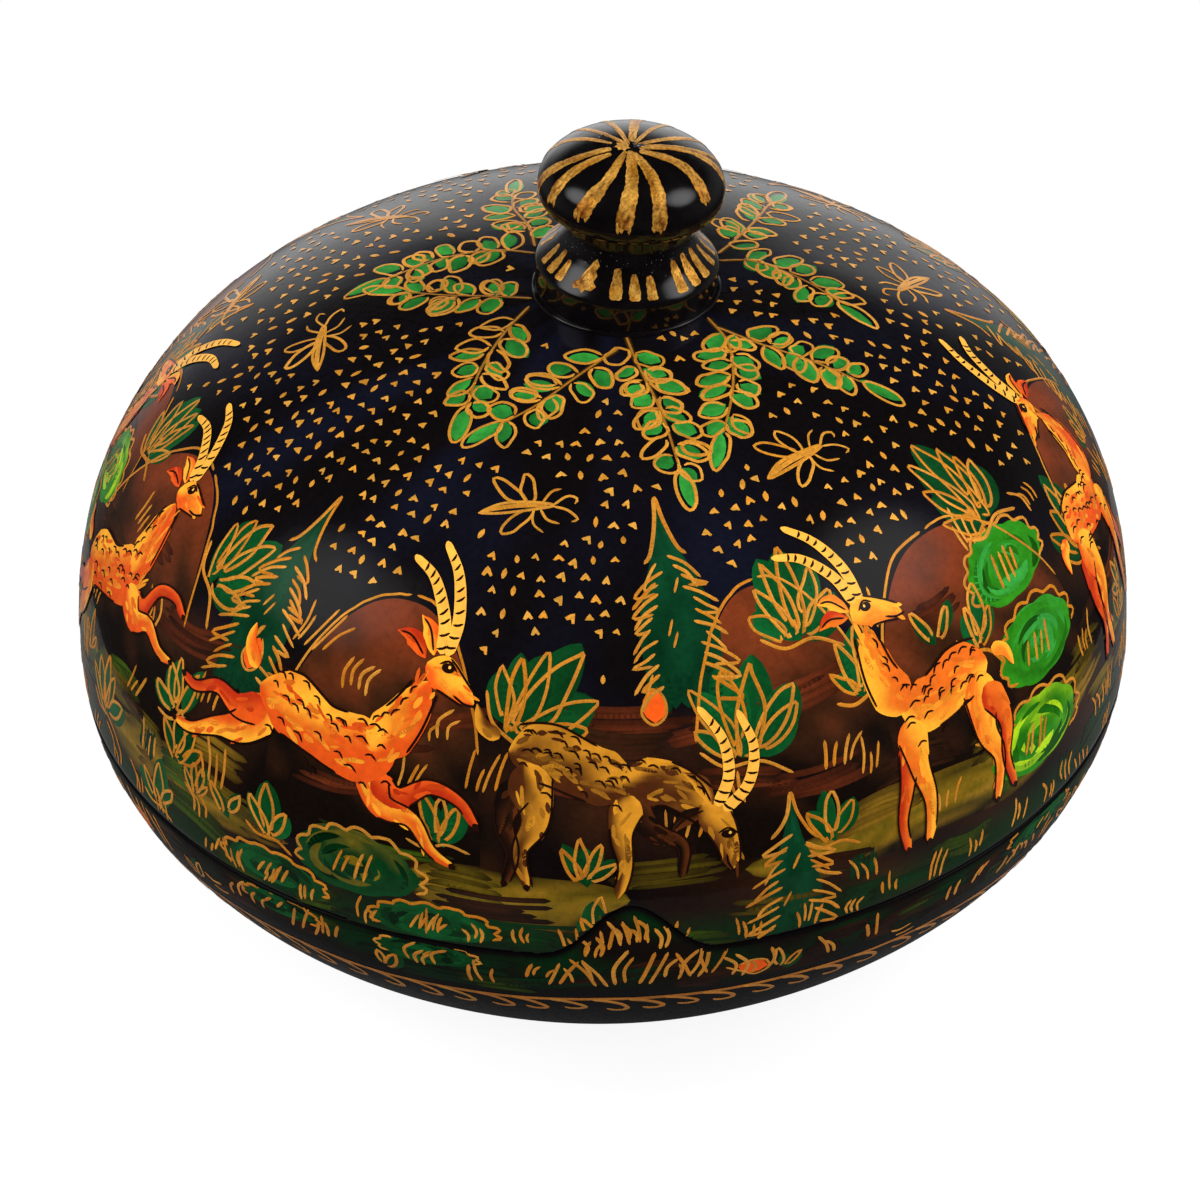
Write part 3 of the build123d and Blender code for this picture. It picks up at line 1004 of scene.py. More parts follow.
def gazelle(where, pose, light=YELLOW, dark=ORANGE, deep=RED):
    """A gazelle facing left. pose gives the paths of its parts."""
    shade = mix(dark, deep, 0.3)
    body, neck = (pose["body"], pose["body_width"]), (pose["neck"], pose["neck_width"])
    head = pose["head"], HEAD_WIDTH
    for leg in pose["far_legs"]:
        limb(where, *leg, dark, deep, 1, 0.3, 0.1)
    limb(where, pose["tail"], [1.9, 1.7, 0.6], light, dark)
    limb(where, *body, light, shade, 1, 0.6, 0.22)
    limb(where, *neck, light, shade, 1, 0.6, 0.14)
    for leg in pose["near_legs"]:
        limb(where, *leg, light, shade, 1, 0.6, 0.02)
    limb(where, pose["ears"][0], EAR_WIDTH, dark, deep)
    limb(where, *head, light, dark, 1, 0.5)
    limb(where, pose["ears"][1], EAR_WIDTH, light, dark)
    for path in pose["horns"]:
        horn(where, path)
    ink_edges(where, *body, [(1, 0.08, 0.66), (-1, 0.25, 0.7)])
    ink_edges(where, *neck, [(1, 0.42, 0.95), (-1, 0.3, 1.0)])
    for leg in pose["near_legs"] + pose["far_legs"]:
        ink_edges(where, *leg, [(1, 0.12, 0.98), (-1, 0.3, 0.9)], 0.26)
        ink_edges(where, *leg, [(0, 0.93, 1.0)], 0.9)
    for depth in (0.25, 0.75, 1.2):
        fur(where, *body, 10, 0.06, 0.94, 1.5, depth)
    fur(where, *neck, 5, 0.1, 0.85, 1.2)
    ink_edges(where, *head, [(1, 0.3, 0.95), (-1, 0.35, 0.95)], 0.26)
    for path in pose["ears"]:
        ink_line(where, curve(path, 0.6)[1:-1], 0.24)
    eye(where, *pose["eye"])
    ink_line(where, pose["mouth"], 0.28)


BOUNDING = {
    "far_legs": [
        ([(9, 15), (13, 13.2), (17, 13.6), (20.5, 11.6), (23.5, 11.8)], [4.5, 3.2, 2.0, 1.5, 1.2]),
        ([(-7, 13.5), (-10.5, 12), (-14, 14.4), (-18, 13.6), (-20.5, 10.8)], [3.8, 2.6, 1.9, 1.5, 1.2]),
    ],
    "tail": [(12.4, 18.4), (15, 20.4), (15.6, 22.6)],
    "body": [(11, 17.0), (6, 17.0), (0, 15.8), (-6, 16.0), (-9, 17.4)],
    "body_width": [5.4, 7.6, 6.6, 7.8, 6.0],
    "near_legs": [
        ([(8.5, 16), (11.5, 11.5), (15.5, 9.2), (19.5, 6.6), (23, 6.0)], [7.0, 4.8, 2.7, 1.7, 1.3]),
        ([(-6.2, 14.8), (-8.6, 10.6), (-12.6, 10.0), (-15.4, 7.0), (-18.6, 5.4)], [5.2, 3.6, 2.3, 1.6, 1.2]),
    ],
    "neck": [(-6.0, 16.2), (-9.0, 20.8), (-10.8, 25.8)],
    "neck_width": [7.2, 5.4, 3.6],
    "head": [(-9.8, 27.6), (-12.2, 27.2), (-14.8, 26.0), (-17.2, 24.8)],
    "ears": [[(-9.4, 28.2), (-6.6, 30.0), (-4.2, 30.0)], [(-10.4, 28.8), (-8.8, 31.4), (-6.8, 32.6)]],
    "horns": [
        [(-11.4, 29.2), (-10.2, 33), (-6.4, 37), (-1.6, 38.6)],
        [(-12.2, 29.2), (-12.2, 33.6), (-9.8, 38.4), (-5.6, 41.6)],
    ],
    "eye": (-12.8, 27.9),
    "mouth": [(-17.6, 24.6), (-16.0, 24.6), (-14.4, 25.2)],
}

STANDING = {
    "far_legs": [
        ([(7.4, 17), (9.4, 11.5), (8.4, 6.4), (9.6, 1.2)], [5.0, 2.8, 1.6, 1.3]),
        ([(-5.8, 16), (-7.8, 10), (-9.0, 5.6), (-8.4, 1.0)], [4.2, 2.4, 1.6, 1.3]),
    ],
    "tail": [(10.6, 20.4), (12.8, 19.2), (13.4, 16.8)],
    "body": [(9.2, 19.6), (4.6, 20.2), (-1.2, 19.0), (-6.2, 19.6)],
    "body_width": [6.2, 7.4, 6.6, 7.2],
    "near_legs": [
        ([(7.0, 19), (5.8, 12), (7.2, 7.2), (6.0, 0.8)], [7.4, 4.2, 2.0, 1.5]),
        ([(-5.6, 18.4), (-5.4, 12), (-4.6, 7), (-5.4, 0.8)], [5.4, 3.2, 2.0, 1.5]),
    ],
    "neck": [(-5.4, 19.4), (-7.4, 24.8), (-7.4, 30.4)],
    "neck_width": [7.0, 5.2, 3.6],
    "head": [(-8.2, 32.0), (-6.0, 32.6), (-3.0, 31.8), (-0.4, 30.6)],
    "ears": [[(-8.8, 32.8), (-11.6, 33.4), (-13.8, 32.6)], [(-8.2, 33.4), (-10.4, 35.4), (-12.6, 35.6)]],
    "horns": [
        [(-6.8, 34.0), (-8.0, 38.0), (-11.6, 41.6), (-16.2, 43.0)],
        [(-5.8, 34.2), (-5.8, 38.6), (-8.0, 43.0), (-12.0, 46.2)],
    ],
    "eye": (-5.4, 33.1),
    "mouth": [(0.0, 30.4), (-1.6, 30.4), (-3.2, 31.0)],
}

GRAZING = {
    "far_legs": [
        ([(7.4, 15), (9.2, 10), (7.8, 5.6), (8.8, 1.0)], [5.0, 2.8, 1.6, 1.3]),
        ([(-6.0, 13.5), (-8.8, 9.6), (-12.4, 7.6), (-12.2, 3.2)], [4.2, 2.6, 1.6, 1.3]),
    ],
    "tail": [(10.8, 19.6), (13.2, 20.6), (14.4, 23.0)],
    "body": [(9.4, 18.0), (4.6, 18.4), (-1.2, 16.4), (-6.4, 15.0)],
    "body_width": [6.4, 7.4, 6.8, 7.0],
    "near_legs": [
        ([(7.2, 17), (5.4, 10.6), (7.0, 6.0), (5.8, 0.8)], [7.4, 4.2, 2.0, 1.5]),
        ([(-6.0, 14.0), (-5.0, 9.4), (-5.6, 4.8), (-4.8, 0.6)], [5.2, 3.0, 1.9, 1.5]),
    ],
    "neck": [(-5.0, 15.4), (-10.8, 15.2), (-15.8, 11.8)],
    "neck_width": [6.8, 5.4, 4.6],
    "head": [(-14.6, 12.6), (-16.6, 10.4), (-17.9, 7.2), (-18.4, 3.8)],
    "ears": [[(-15.4, 12.0), (-12.8, 11.0), (-10.8, 9.2)], [(-16.0, 12.4), (-14.6, 15.2), (-12.4, 16.6)]],
    "horns": [
        [(-17.4, 11.6), (-20.6, 14.6), (-21.6, 19.0), (-20.0, 23.4)],
        [(-16.6, 12.2), (-18.2, 16.0), (-17.6, 20.4), (-14.8, 24.2)],
    ],
    "eye": (-17.9, 8.6),
    "mouth": [(-18.6, 3.6), (-17.9, 4.8), (-17.7, 6.0)],
}


def hare(where, light=CREAM, dark=BROWN, deep=EARTH):
    """A long-eared hare that sits up, facing left."""
    body = [(6.0, 4.6), (3.6, 7.6), (0.2, 11.2), (-2.6, 14.2)], [7.4, 9.6, 7.6, 5.6]
    legs = (
        ([(3.0, 6.4), (5.8, 3.6), (2.0, 1.2), (-3.6, 0.9)], [7.0, 4.6, 2.2, 1.5]),
        ([(-2.0, 12.4), (-4.4, 8.4), (-3.8, 4.4), (-5.4, 1.0)], [4.2, 2.8, 1.8, 1.4]),
    )
    head = [(-2.4, 16.6), (-4.6, 17.0), (-7.0, 15.8), (-8.6, 14.4)], [4.4, 4.8, 3.2, 2.0]
    ears = [(-1.8, 18.2), (1.6, 22.6), (3.4, 28.6)], [(-3.4, 18.6), (-2.6, 24.0), (-1.0, 30.0)]
    ear_width = [1.2, 2.6, 0.5]
    limb(where, [(8.8, 4.0), (10.8, 5.4), (11.4, 7.2)], [2.0, 2.4, 1.0], light, dark)
    limb(where, *body, light, dark, 1, 0.5, 0.1)
    for leg in legs:
        limb(where, *leg, light, dark, 1, 0.5, 0.0)
    limb(where, ears[0], ear_width, dark, deep)
    limb(where, *head, light, dark, 1, 0.5)
    limb(where, ears[1], ear_width, dark, mix(dark, light, 0.4))
    ink_edges(where, *body, [(1, 0.05, 0.95), (-1, 0.4, 0.95)])
    for leg in legs:
        ink_edges(where, *leg, [(1, 0.1, 0.95), (-1, 0.25, 0.9)], 0.26)
    ink_edges(where, *head, [(-1, 0.3, 0.95)], 0.26)
    for path in ears:
        ink_edges(where, path, ear_width, [(1, 0.0, 1.0), (-1, 0.0, 1.0)], 0.24)
        ink_line(where, curve(path, 0.8)[1:-2], 0.22)
    for depth in (0.25, 0.8, 1.3):
        fur(where, *body, 8, 0.08, 0.95, 1.4, depth)
    eye(where, -5.2, 17.0, 0.85)
    ink_line(where, [(-9.0, 14.2), (-7.8, 14.2), (-6.8, 14.8)], 0.28)
    for k in range(3):
        ink_line(where, [(-8.0, 14.2 + 0.4 * k), (-10.4, 13.6 + 0.9 * k)], 0.14)


# --- The shells
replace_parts(shell_mesh("lid_skin", "lid", 132, 30, lid_ground, False), "lid_shell")
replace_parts(shell_mesh("bowl_skin", "bowl", 70, 24, bowl_ground, True), "bowl_shell")


GIRTH = 160  # columns round the knob


def lathe(name, radii, heights, look, body, slot_name, columns=GIRTH, origin=(0, 0, 0), lean=0.0, wear=None):
    """A turned piece from its section, which starts and ends on the axis or closes on itself."""
    skin = Skin(radii, heights, heights[0], None, origin, lean)
    turns = np.arange(columns) * 360 / columns
    rise = np.broadcast_to(skin.rise[:, None], (len(radii), columns))
    points = skin.place(turns, rise)
    if wear is not None:
        points = points + wear(turns, rise)
    made = mesh_object(name, points.reshape(-1, 3), grid_quads(len(radii), columns).tolist(), look)
    return dressed(made, body)


def smooth_section(corners, step=0.25):
    """A finely stepped section through its corners. Each corner is (r, height, rounding)."""
    points = np.array([c[:2] for c in corners], float)
    out = [points[0]]
    for i in range(1, len(points) - 1):
        a, b, c = points[i - 1], points[i], points[i + 1]
        ab, bc = hypot(*(b - a)), hypot(*(c - b))
        cut = min(corners[i][2], 0.45 * ab, 0.45 * bc)
        start, end = b + (a - b) * cut / ab, b + (c - b) * cut / bc
        t = np.linspace(0, 1, 7 if cut > 0.05 else 2)[:, None]
        out.extend(start * (1 - t) ** 2 + 2 * b * t * (1 - t) + end * t**2)
    out.append(points[-1])
    fine = [out[0]]
    for a, b in zip(out, out[1:]):
        count = max(1, ceil(hypot(*(b - a)) / step))
        fine.extend(a + (b - a) * k / count for k in range(1, count + 1) if hypot(*(b - a)) > 1e-4)
    return np.array(fine).T


# --- The collar
collar_low, collar_high = (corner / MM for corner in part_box("bowl_collar"))
collar_inside, collar_middle = COLLAR_RADIUS - COLLAR_WALL, (SEAM + collar_high.z) / 2
wall_at_foot = float(np.interp(collar_low.z, inner.heights, inner.radii))
collar_corners = [(collar_inside, collar_middle, 0), (collar_inside, collar_high.z, 0.6)]
collar_corners += [(COLLAR_RADIUS, collar_high.z, 0.6), (COLLAR_RADIUS, SEAM - 2.0, 0.5)]
collar_corners += [(wall_at_foot, collar_low.z, 0.2), (collar_inside - COLLAR_TAPER, collar_low.z, 0.3)]
collar_corners += [(collar_inside, SEAM, 2.0), (collar_inside, collar_middle, 0)]
collar_section = smooth_section(collar_corners, 0.6)


def cut_edge(turn, rise):
    """The collar's hand-cut rim, a little uneven in height and in girth."""
    a = np.radians(turn)
    high = np.clip((np.interp(rise, collar_skin.rise, collar_skin.heights) - SEAM) / 8, 0, 1)
    drop = 0.16 * np.sin(3 * a + 1) + 0.1 * np.sin(8 * a) + 0.05 * np.sin(21 * a + 2)
    inset = 0.08 * (1 + np.sin(5 * a)) * high
    return np.stack([-np.sin(a) * inset, np.cos(a) * inset, (drop - 0.32) * high], -1)


collar_skin = Skin(*collar_section, collar_section[1][0])
collar = lathe("collar_strip", *collar_section, BOARD, "bowl", "collar_board", 220, wear=cut_edge)
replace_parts(collar, "bowl_collar")
for name, look in (("knob_peg", PEG_WOOD), ("peg_patch", PATCH_PAPER)):
    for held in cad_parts[name].material_slots:
        held.material = look

# --- The knob
seat = (KNOB_OFFSET, KNOB_BACK, CROWN)
stem_corners = [(12.4, -1.6, 0), (12.65, -0.8, 0.5), (12.7, 4.0, 0.35), (12.3, 4.5, 0.4), (10.2, 6.5, 0.8)]
stem_corners += [(8.9, 8.3, 1.6), (8.5, 9.9, 1.5), (8.6, 12.2, 1.0), (8.8, 12.7, 0.2), (0.02, 12.7, 0)]
under_corners = [(0.02, 12.6, 0), (8.8, 12.62, 0.3), (11.4, 13.3, 1.5), (12.5, 14.2, 0.8), (12.86, 15.0, 0.6)]
under_corners += [(CAP_RADIUS, CAP_HEIGHT, 0)]
stem_section = smooth_section(stem_corners)
dome_r, dome_z = superellipse(CAP_RADIUS, CAP_RISE, CAP_POWER, CAP_RISE, 60)
under_r, under_z = smooth_section(under_corners)
cap_heights = np.r_[under_z, CAP_HEIGHT + dome_z[1:-1], CAP_HEIGHT + CAP_RISE]
cap_section = np.r_[under_r, dome_r[1:-1], 0.02], cap_heights
stem_skin = Skin(*stem_section, 0.0, None, seat, KNOB_LEAN, 0.15)
cap_skin = Skin(*cap_section, CAP_HEIGHT, None, seat, KNOB_LEAN, 0.15)
stem = lathe("knob_stem_skin", *stem_section, KNOB_LACQUER, "lid", "knob_gilding", GIRTH, seat, KNOB_LEAN)
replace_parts(stem, "knob_stem")

# The bead of lacquer round the knob's foot.
BEAD_RADIUS, BEAD_SIZE, BEAD_SIDES = 12.75, 0.42, 12
girth = np.radians(np.arange(GIRTH) * 360 / GIRTH)
out_x, out_y = np.sin(girth), -np.cos(girth)
foot_x, foot_y = seat[0] + BEAD_RADIUS * out_x, seat[1] + BEAD_RADIUS * out_y
foot_r = np.hypot(foot_x, foot_y)
dome_radii, dome_heights = (values[::-1][:SECTION_STEPS] for values in section)
foot_z = np.interp(foot_r, dome_radii, dome_heights)
foot_z -= shell_sunk(np.degrees(np.arctan2(foot_x, -foot_y)), shell.top - foot_r)
swell = BEAD_SIZE * (1 + 0.16 * np.sin(5 * girth + 1) + 0.1 * np.sin(13 * girth))
loops = []
for a in np.arange(BEAD_SIDES) * pi / 6:
    side, up = cos(a) * swell, sin(a) * swell
    loops.append(np.stack([foot_x + side * out_x, foot_y + side * out_y, foot_z + 0.1 + up], -1))
bead_quads = grid_quads(BEAD_SIDES + 1, GIRTH) % (BEAD_SIDES * GIRTH)
bead = mesh_object("knob_lacquer_bead", np.concatenate(loops), bead_quads.tolist(), KNOB_LACQUER)
dressed(bead, "lid")

# The cap over the stem.
cap = lathe("knob_cap_skin", *cap_section, KNOB_LACQUER, "lid", "knob_gilding", GIRTH, seat, KNOB_LEAN)
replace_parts(cap, "knob_cap")

# --- The garden
# Hillocks: turn, half-width in degrees, top.
for turn, half, top in (
    (-72, 15, 49), (-28.5, 13, 48.5), (19, 12, 51), (46, 17, 48), (83, 15, 46), (125, 18, 48),
    (163, 16, 50), (200, 18, 47), (238, 15, 50), (264, 14, 46),
):
    hillock(turn, half, top)

# Meadows: turn, half-width in degrees, low and high.
for turn, half, low, high in (
    (-56, 15, 5, 14), (-12, 12, 4.5, 14), (37, 25, 8, 17), (84, 14, 5, 13), (122, 16, 7, 16),
    (166, 20, 4, 14), (208, 17, 8, 17), (246, 17, 5, 14), (276, 10, 9, 17),
):
    meadow(turn, half, low, high)

# Dry brush marks: browns on the hillocks, olives and greens lower down.
turn = -180.0
while turn < 180:
    turn += vary(1.6, 3.4)
    level = draw.random()
    if level < 0.4:
        spot, tone = vary(18, 40), pick([SIENNA * 0.6, UMBER, UMBER * 0.7, SIENNA * 0.8])
    elif level < 0.8:
        spot, tone = vary(5, 18), pick([OLIVE, OCHRE, OLIVE * 0.6, UMBER, MOSS])
    else:
        spot, tone = vary(1.5, 6), pick([DARK_LEAF, MOSS * 0.6, DEEP_LEAF * 0.45])
    brushed(around(turn, spot, vary(-9, 9)), vary(9, 24), vary(1.8, 4.5), tone)

# Firs: turn, foot, height and width.
for turn, low, tall, wide in (
    (-47, 29, 29, 10), (7.5, 38, 28, 11), (17.5, 1, 21, 8), (97, 30, 28, 11), (111, 3, 20, 8),
    (146, 33, 27, 11), (190, 31, 27, 10), (222, 34, 26, 11), (252, 31, 26, 10),
):
    conifer(around(turn, low), tall, wide)

# Bushes: turn, rise, width, height, green and light.
for turn, low, wide, tall, green, light in (
    (-92, 31, 14, 10.5, BUSH, LIME), (55, 37, 18, 11, BUSH, LEAF), (54, 25, 17, 11.5, BUSH, LEAF),
    (50.5, 13, 18, 12, BUSH, LIME), (-29.5, 9.5, 17, 11, DARK_LEAF, OLIVE),
    (-39.5, 3.5, 16, 6.5, DARK_LEAF, DEEP_LEAF), (-21, 3, 16, 6.5, DARK_LEAF, DEEP_LEAF),
    (114, 36, 17, 11, BUSH, LEAF), (128, 9, 18, 11, DARK_LEAF, OLIVE),
    (137, 3, 15, 6, DARK_LEAF, DEEP_LEAF), (173, 36, 17, 11, BUSH, LIME), (176, 24, 16, 11, BUSH, LEAF),
    (215, 9, 17, 11, BUSH, LIME), (232, 3.5, 15, 6, DARK_LEAF, DEEP_LEAF), (238, 37, 15, 10, BUSH, LEAF),
    (263, 22, 16, 11, BUSH, LIME),
):
    bush(around(turn, low), wide, tall, green, light)

# Clumps: turn, rise, leaves, reach, spread and tilt.
for turn, low, leaves, size, spread, tilt in (
    (-85, 41, 6, 9.5, 120, 8), (-57, 39, 6, 11, 110, -32), (-55, 20, 4, 8, 90, 25),
    (-71, 8, 5, 8.5, 120, 0), (-58, 3, 3, 6, 80, 0), (-12, 33, 7, 12.5, 125, -42),
    (23, 43, 6, 11.5, 130, 0), (13.5, 29, 6, 11.5, 120, -4), (28.5, 33, 4, 8, 90, 10),
    (57, 44.5, 7, 12, 120, 8), (70, 29, 6, 10.5, 110, -8), (45.5, 31, 3, 8, 60, -25),
    (44, 19, 3, 7, 60, 10), (22, 14, 3, 7, 70, 0), (-40, 10, 3, 7, 80, 0), (-20, 17, 4, 7.5, 90, 12),
    (-3, 3, 3, 6, 70, 0), (86, 10, 5, 8.5, 120, 0), (104, 14, 4, 8, 90, 0), (121, 44, 6, 10.5, 120, -6),
    (132, 27, 6, 10.5, 120, 15), (152, 12, 5, 9, 110, 0), (158, 40, 7, 11.5, 125, 20),
    (184, 8, 4, 8, 90, 0), (196, 40, 6, 10.5, 120, -10), (207, 26, 5, 9.5, 110, 0),
    (228, 21, 5, 9.5, 110, 12), (243, 13, 4, 8, 90, 0), (257, 40, 6, 10.5, 120, -12),
    (270, 10, 4, 8, 90, 0),
):
    clump(around(turn, low, tilt), leaves, size, spread, pick([DEEP_LEAF, DEEP_LEAF, DARK_LEAF * 1.3]))

for turn, low in ((-46.5, 34), (3.5, 37), (92, 22), (140, 36), (181, 20), (226, 42), (246, 30)):
    bud(around(turn, low))

# Grass: turn, rise, blades, height and lean.
for turn, low, blades, tall, lean in (
    (-79, 20, 4, 4, 20), (-64, 27, 4, 4.5, -12), (-51, 24, 4, 5, 10), (-40, 38, 5, 6, 30),
    (-24, 24, 3, 4, 20), (-16, 25, 4, 5, 15), (-10, 22, 3, 4.5, -10), (-21, 31, 3, 4, 30),
    (5, 18, 4, 5, 10), (12, 22, 3, 4, -15), (32, 40, 5, 6.5, -12), (35, 12, 4, 4, 10), (27, 22, 3, 4.5, 15),
    (52, 43, 4, 5, 20), (63, 18, 4, 5, 12), (66, 40, 4, 4.5, -14), (75, 5, 4, 4, 10), (100, 42, 4, 5, 10),
    (118, 24, 4, 5, 15), (148, 22, 4, 5, -8), (166, 28, 4, 5, 10), (188, 26, 4, 5, 10),
    (202, 14, 4, 4.5, -10), (218, 30, 4, 5, 10), (248, 44, 4, 5, 10), (259, 8, 4, 4, 10),
):
    grass(around(turn, low), blades, tall, lean)

turn = -176.0
while turn < 184:
    grass(around(turn, vary(0.8, 2.2)), pick([3, 3, 4]), vary(2.6, 4.6), vary(-20, 22), 0.95)
    turn += vary(4.2, 8.5)

# --- The animals
gazelle(around(-70, 11, 26, 1.12, -1), BOUNDING)
gazelle(around(-35.5, 9, -6, 1.2, -1), BOUNDING)
gazelle(around(-5.5, 9.6, -3, 1.14, -1), GRAZING, MUSTARD, BROWN, EARTH)
gazelle(around(38, 6.5, 2, 1.12), STANDING, YELLOW, mix(ORANGE, YELLOW, 0.25))
gazelle(around(76, 10, 0, 1.1, -1), STANDING, YELLOW, ORANGE, RED)
gazelle(around(119, 11, 4, 1.1, -1), GRAZING)
hare(around(142, 5, 0, 1.15, -1), MUSTARD, BROWN, EARTH)
gazelle(around(167, 8, 0, 1.12), STANDING)
gazelle(around(203, 10, -4, 1.15), BOUNDING, YELLOW, ORANGE, BROWN)
hare(around(230, 4, 0, 1.05, -1))
gazelle(around(254, 7, 0, 1.1, -1), STANDING)

# --- Sprays and moths
leaf_spray([(3.3, -9.5), (4.6, -17), (7.4, -27), (9.5, -38)], 7)
leaf_spray([(2.4, -14), (-3, -19), (-9, -24.5), (-14, -27.5)], 4)
leaf_spray([(15, -7), (17.6, -13), (17.6, -22), (15.8, -31)], 6)
leaf_spray([(16, -9), (22, -12.5), (30, -15.5), (36, -17.8)], 5)
leaf_spray([(17.6, 8), (22.6, 8.4), (29, 4.6), (34, 0)], 5)
leaf_spray([(17.6, 10), (20.6, 15), (24, 22), (26.6, 29.6)], 5)
leaf_spray([(-8, 11), (-14, 13), (-22, 12.4), (-29, 9.6)], 6)
leaf_spray([(-8, 13), (-8.6, 19), (-10.6, 26), (-10.5, 32)], 5)
leaf_spray([(-9, -1), (-14.5, 0.5), (-21, 2.4), (-26.4, 5)], 5)
leaf_spray([(-9.4, -3), (-13, -8.5), (-16.6, -16), (-19, -23.6)], 6)

for x, y, tilt, flip in (
    (-39, -3, 80, 1), (-12.4, -42.6, -6, 1), (25.8, -34.5, 38, 1), (45.8, 11, 60, -1), (-30, 32, -30, 1),
    (6, 44, 10, -1), (36, 38, -40, 1), (-52, 22, 60, -1),
):
    moth(sky.spot(x, y, tilt, 1.0, flip))

# --- Small plants of the garden's gaps, and ticks of the sky
CELL = 1.3  # size of the cells that tell where paint is
SKY_FROM, TICK_GAP, RING_GAP = 40, 2.75, 2.7  # the sky's lowest rise, and its ticks' spacing


def filled_cells(*coats):
    """The cells of space that have paint in them."""
    points = np.concatenate([p for coat in coats for p in coat.points])
    return set(map(tuple, np.unique(np.floor(points / CELL).astype(int), axis=0)))


def near_filled(cells, point):
    """Whether a cell round the point has paint in it."""
    low, high = (np.floor((point + side * CELL * 0.75) / CELL).astype(int) for side in (-1, 1))
    return not cells.isdisjoint(product(*(range(a, b + 1) for a, b in zip(low, high))))


def is_free(cells, turn, rise, wide, tall):
    """Whether nothing is painted yet in a patch that stands on a spot."""
    shares = product((0.15, 0.6, 1.0), (-0.5, 0.0, 0.5))
    spots = ((turn + np.degrees(across * wide / EQUATOR), rise + up * tall) for up, across in shares)
    return not any(near_filled(cells, shell.place(*spot)) for spot in spots)


cells = filled_cells(greens, gold, figures)
rise = 2.0
while rise < 37:
    turn = -180 + vary(0, 4)
    while turn < 180:
        if is_free(cells, turn, rise, 1.8, 3.6):
            kind = draw.random()
            if kind < 0.52:
                grass(around(turn, rise), pick([3, 4, 4, 5]), vary(3.8, 6.2), vary(-32, 32), 1.15, width=0.62)
            elif kind < 0.8:
                reach = vary(5.0, 7.4)
                where = around(turn, rise, vary(-25, 25))
                clump(where, pick([2, 3, 3, 4]), reach, 85, DARK_LEAF * 1.3, False)
            else:
                brushed(around(turn, rise + 2, vary(70, 110)), 5.5, 4.0, DARK_LEAF, lift=MEADOW_LIFT + 0.006)
                grass(around(turn, rise), 3, 4.2, vary(-20, 20), 1.1)
        turn += vary(3.2, 5.4)
    rise += vary(3.2, 4.2)

cells = filled_cells(greens, gold, sky_gold, spray_gold, figures)
landscape = filled_cells(hills)
row, arc = 0, 14.2
while arc < 72:
    count = int(2 * pi * float(shell.radius(shell.top - arc)) / TICK_GAP)
    for i in range(count):
        turn = 360 * (i + 0.5 * (row % 2) + vary(-0.22, 0.22)) / count
        rise = shell.top - arc + vary(-0.5, 0.5)
        spot = shell.place(turn, rise)
        if rise < SKY_FROM or near_filled(cells, spot) or near_filled(landscape, spot):
            continue
        place = (shell.top - rise) * np.array([sin(radians(turn)), -cos(radians(turn))])
        tilt = turn - 12 - 20 * sin(radians(turn)) + vary(-24, 24)
        where = sky.spot(*place, tilt)
        tone = mix(GOLD, PALE_GOLD, vary(0, 0.7)) * vary(0.8, 1.05)
        if draw.random() < 0.2:
            reach = vary(0.5, 0.8)
            gold_line(sky_gold, where.spot(0, 0, 70), [(-reach, -0.25), (reach, 0.3)], 0.95)
            continue
        w, h = vary(0.56, 0.82), vary(0.56, 0.8)
        left, right = vary(0.45, 1.15), vary(0.45, 1.15)
        edge = [(vary(-0.1, 0.15), h), (0.42 * w, 0.5 * h), (w, -0.6 * h * right)]
        edge += [(0.6 * w, -0.85 * h * right), (0.12 * w, vary(-0.45, -0.1) * h)]
        edge += [(-0.5 * w, -0.75 * h * left), (-w, -0.5 * h * left), (-0.48 * w, 0.45 * h)]
        blob(sky_gold, where, (0, 0.3 * h), edge, tone, GOLD_LIFT + 0.02, 2)
    arc += RING_GAP
    row += 1

# --- Border of the bowl
RING_RISE, RING_HALF_WIDTH = -10.8, 0.42
bowl_coats = bowl_greens, bowl_gold
xs = np.linspace(0, 2 * pi * EQUATOR, 481)
wave = 0.12 * np.sin(xs / 9) + 0.1 * np.sin(xs / 3.7 + 1)


def ring_colour(x, y, t):
    return mix(GARDEN_GOLD, DULL_GOLD, 0.2 + 0.5 * wobble(x, y, 7, 2))


low, high = RING_RISE + wave - RING_HALF_WIDTH, RING_RISE + wave + RING_HALF_WIDTH
band(bowl_gold, garden, xs, low, high, ring_colour, 0.05, 4)

x = 0.0
while x < 2 * pi * EQUATOR - 3:
    here = garden.spot(x, RING_RISE, vary(-3, 3))
    onward, deep = vary(4.8, 6.2), vary(3.3, 4.2)
    hook = [(-0.4, -0.1), (1.8, -0.7), (3.8, -1.9), (4.6, -0.84 * deep), (3.9, -deep)]
    hook += [(2.5, -0.98 * deep), (1.5, -0.8 * deep)]
    gold_line(bowl_gold, here, hook, 1.0)
    if draw.random() < 0.5:
        gold_line(bowl_gold, here, [(1.0, -0.5), (2.6, -1.0), (3.6, -0.5 * deep)], 0.8)
    x += onward

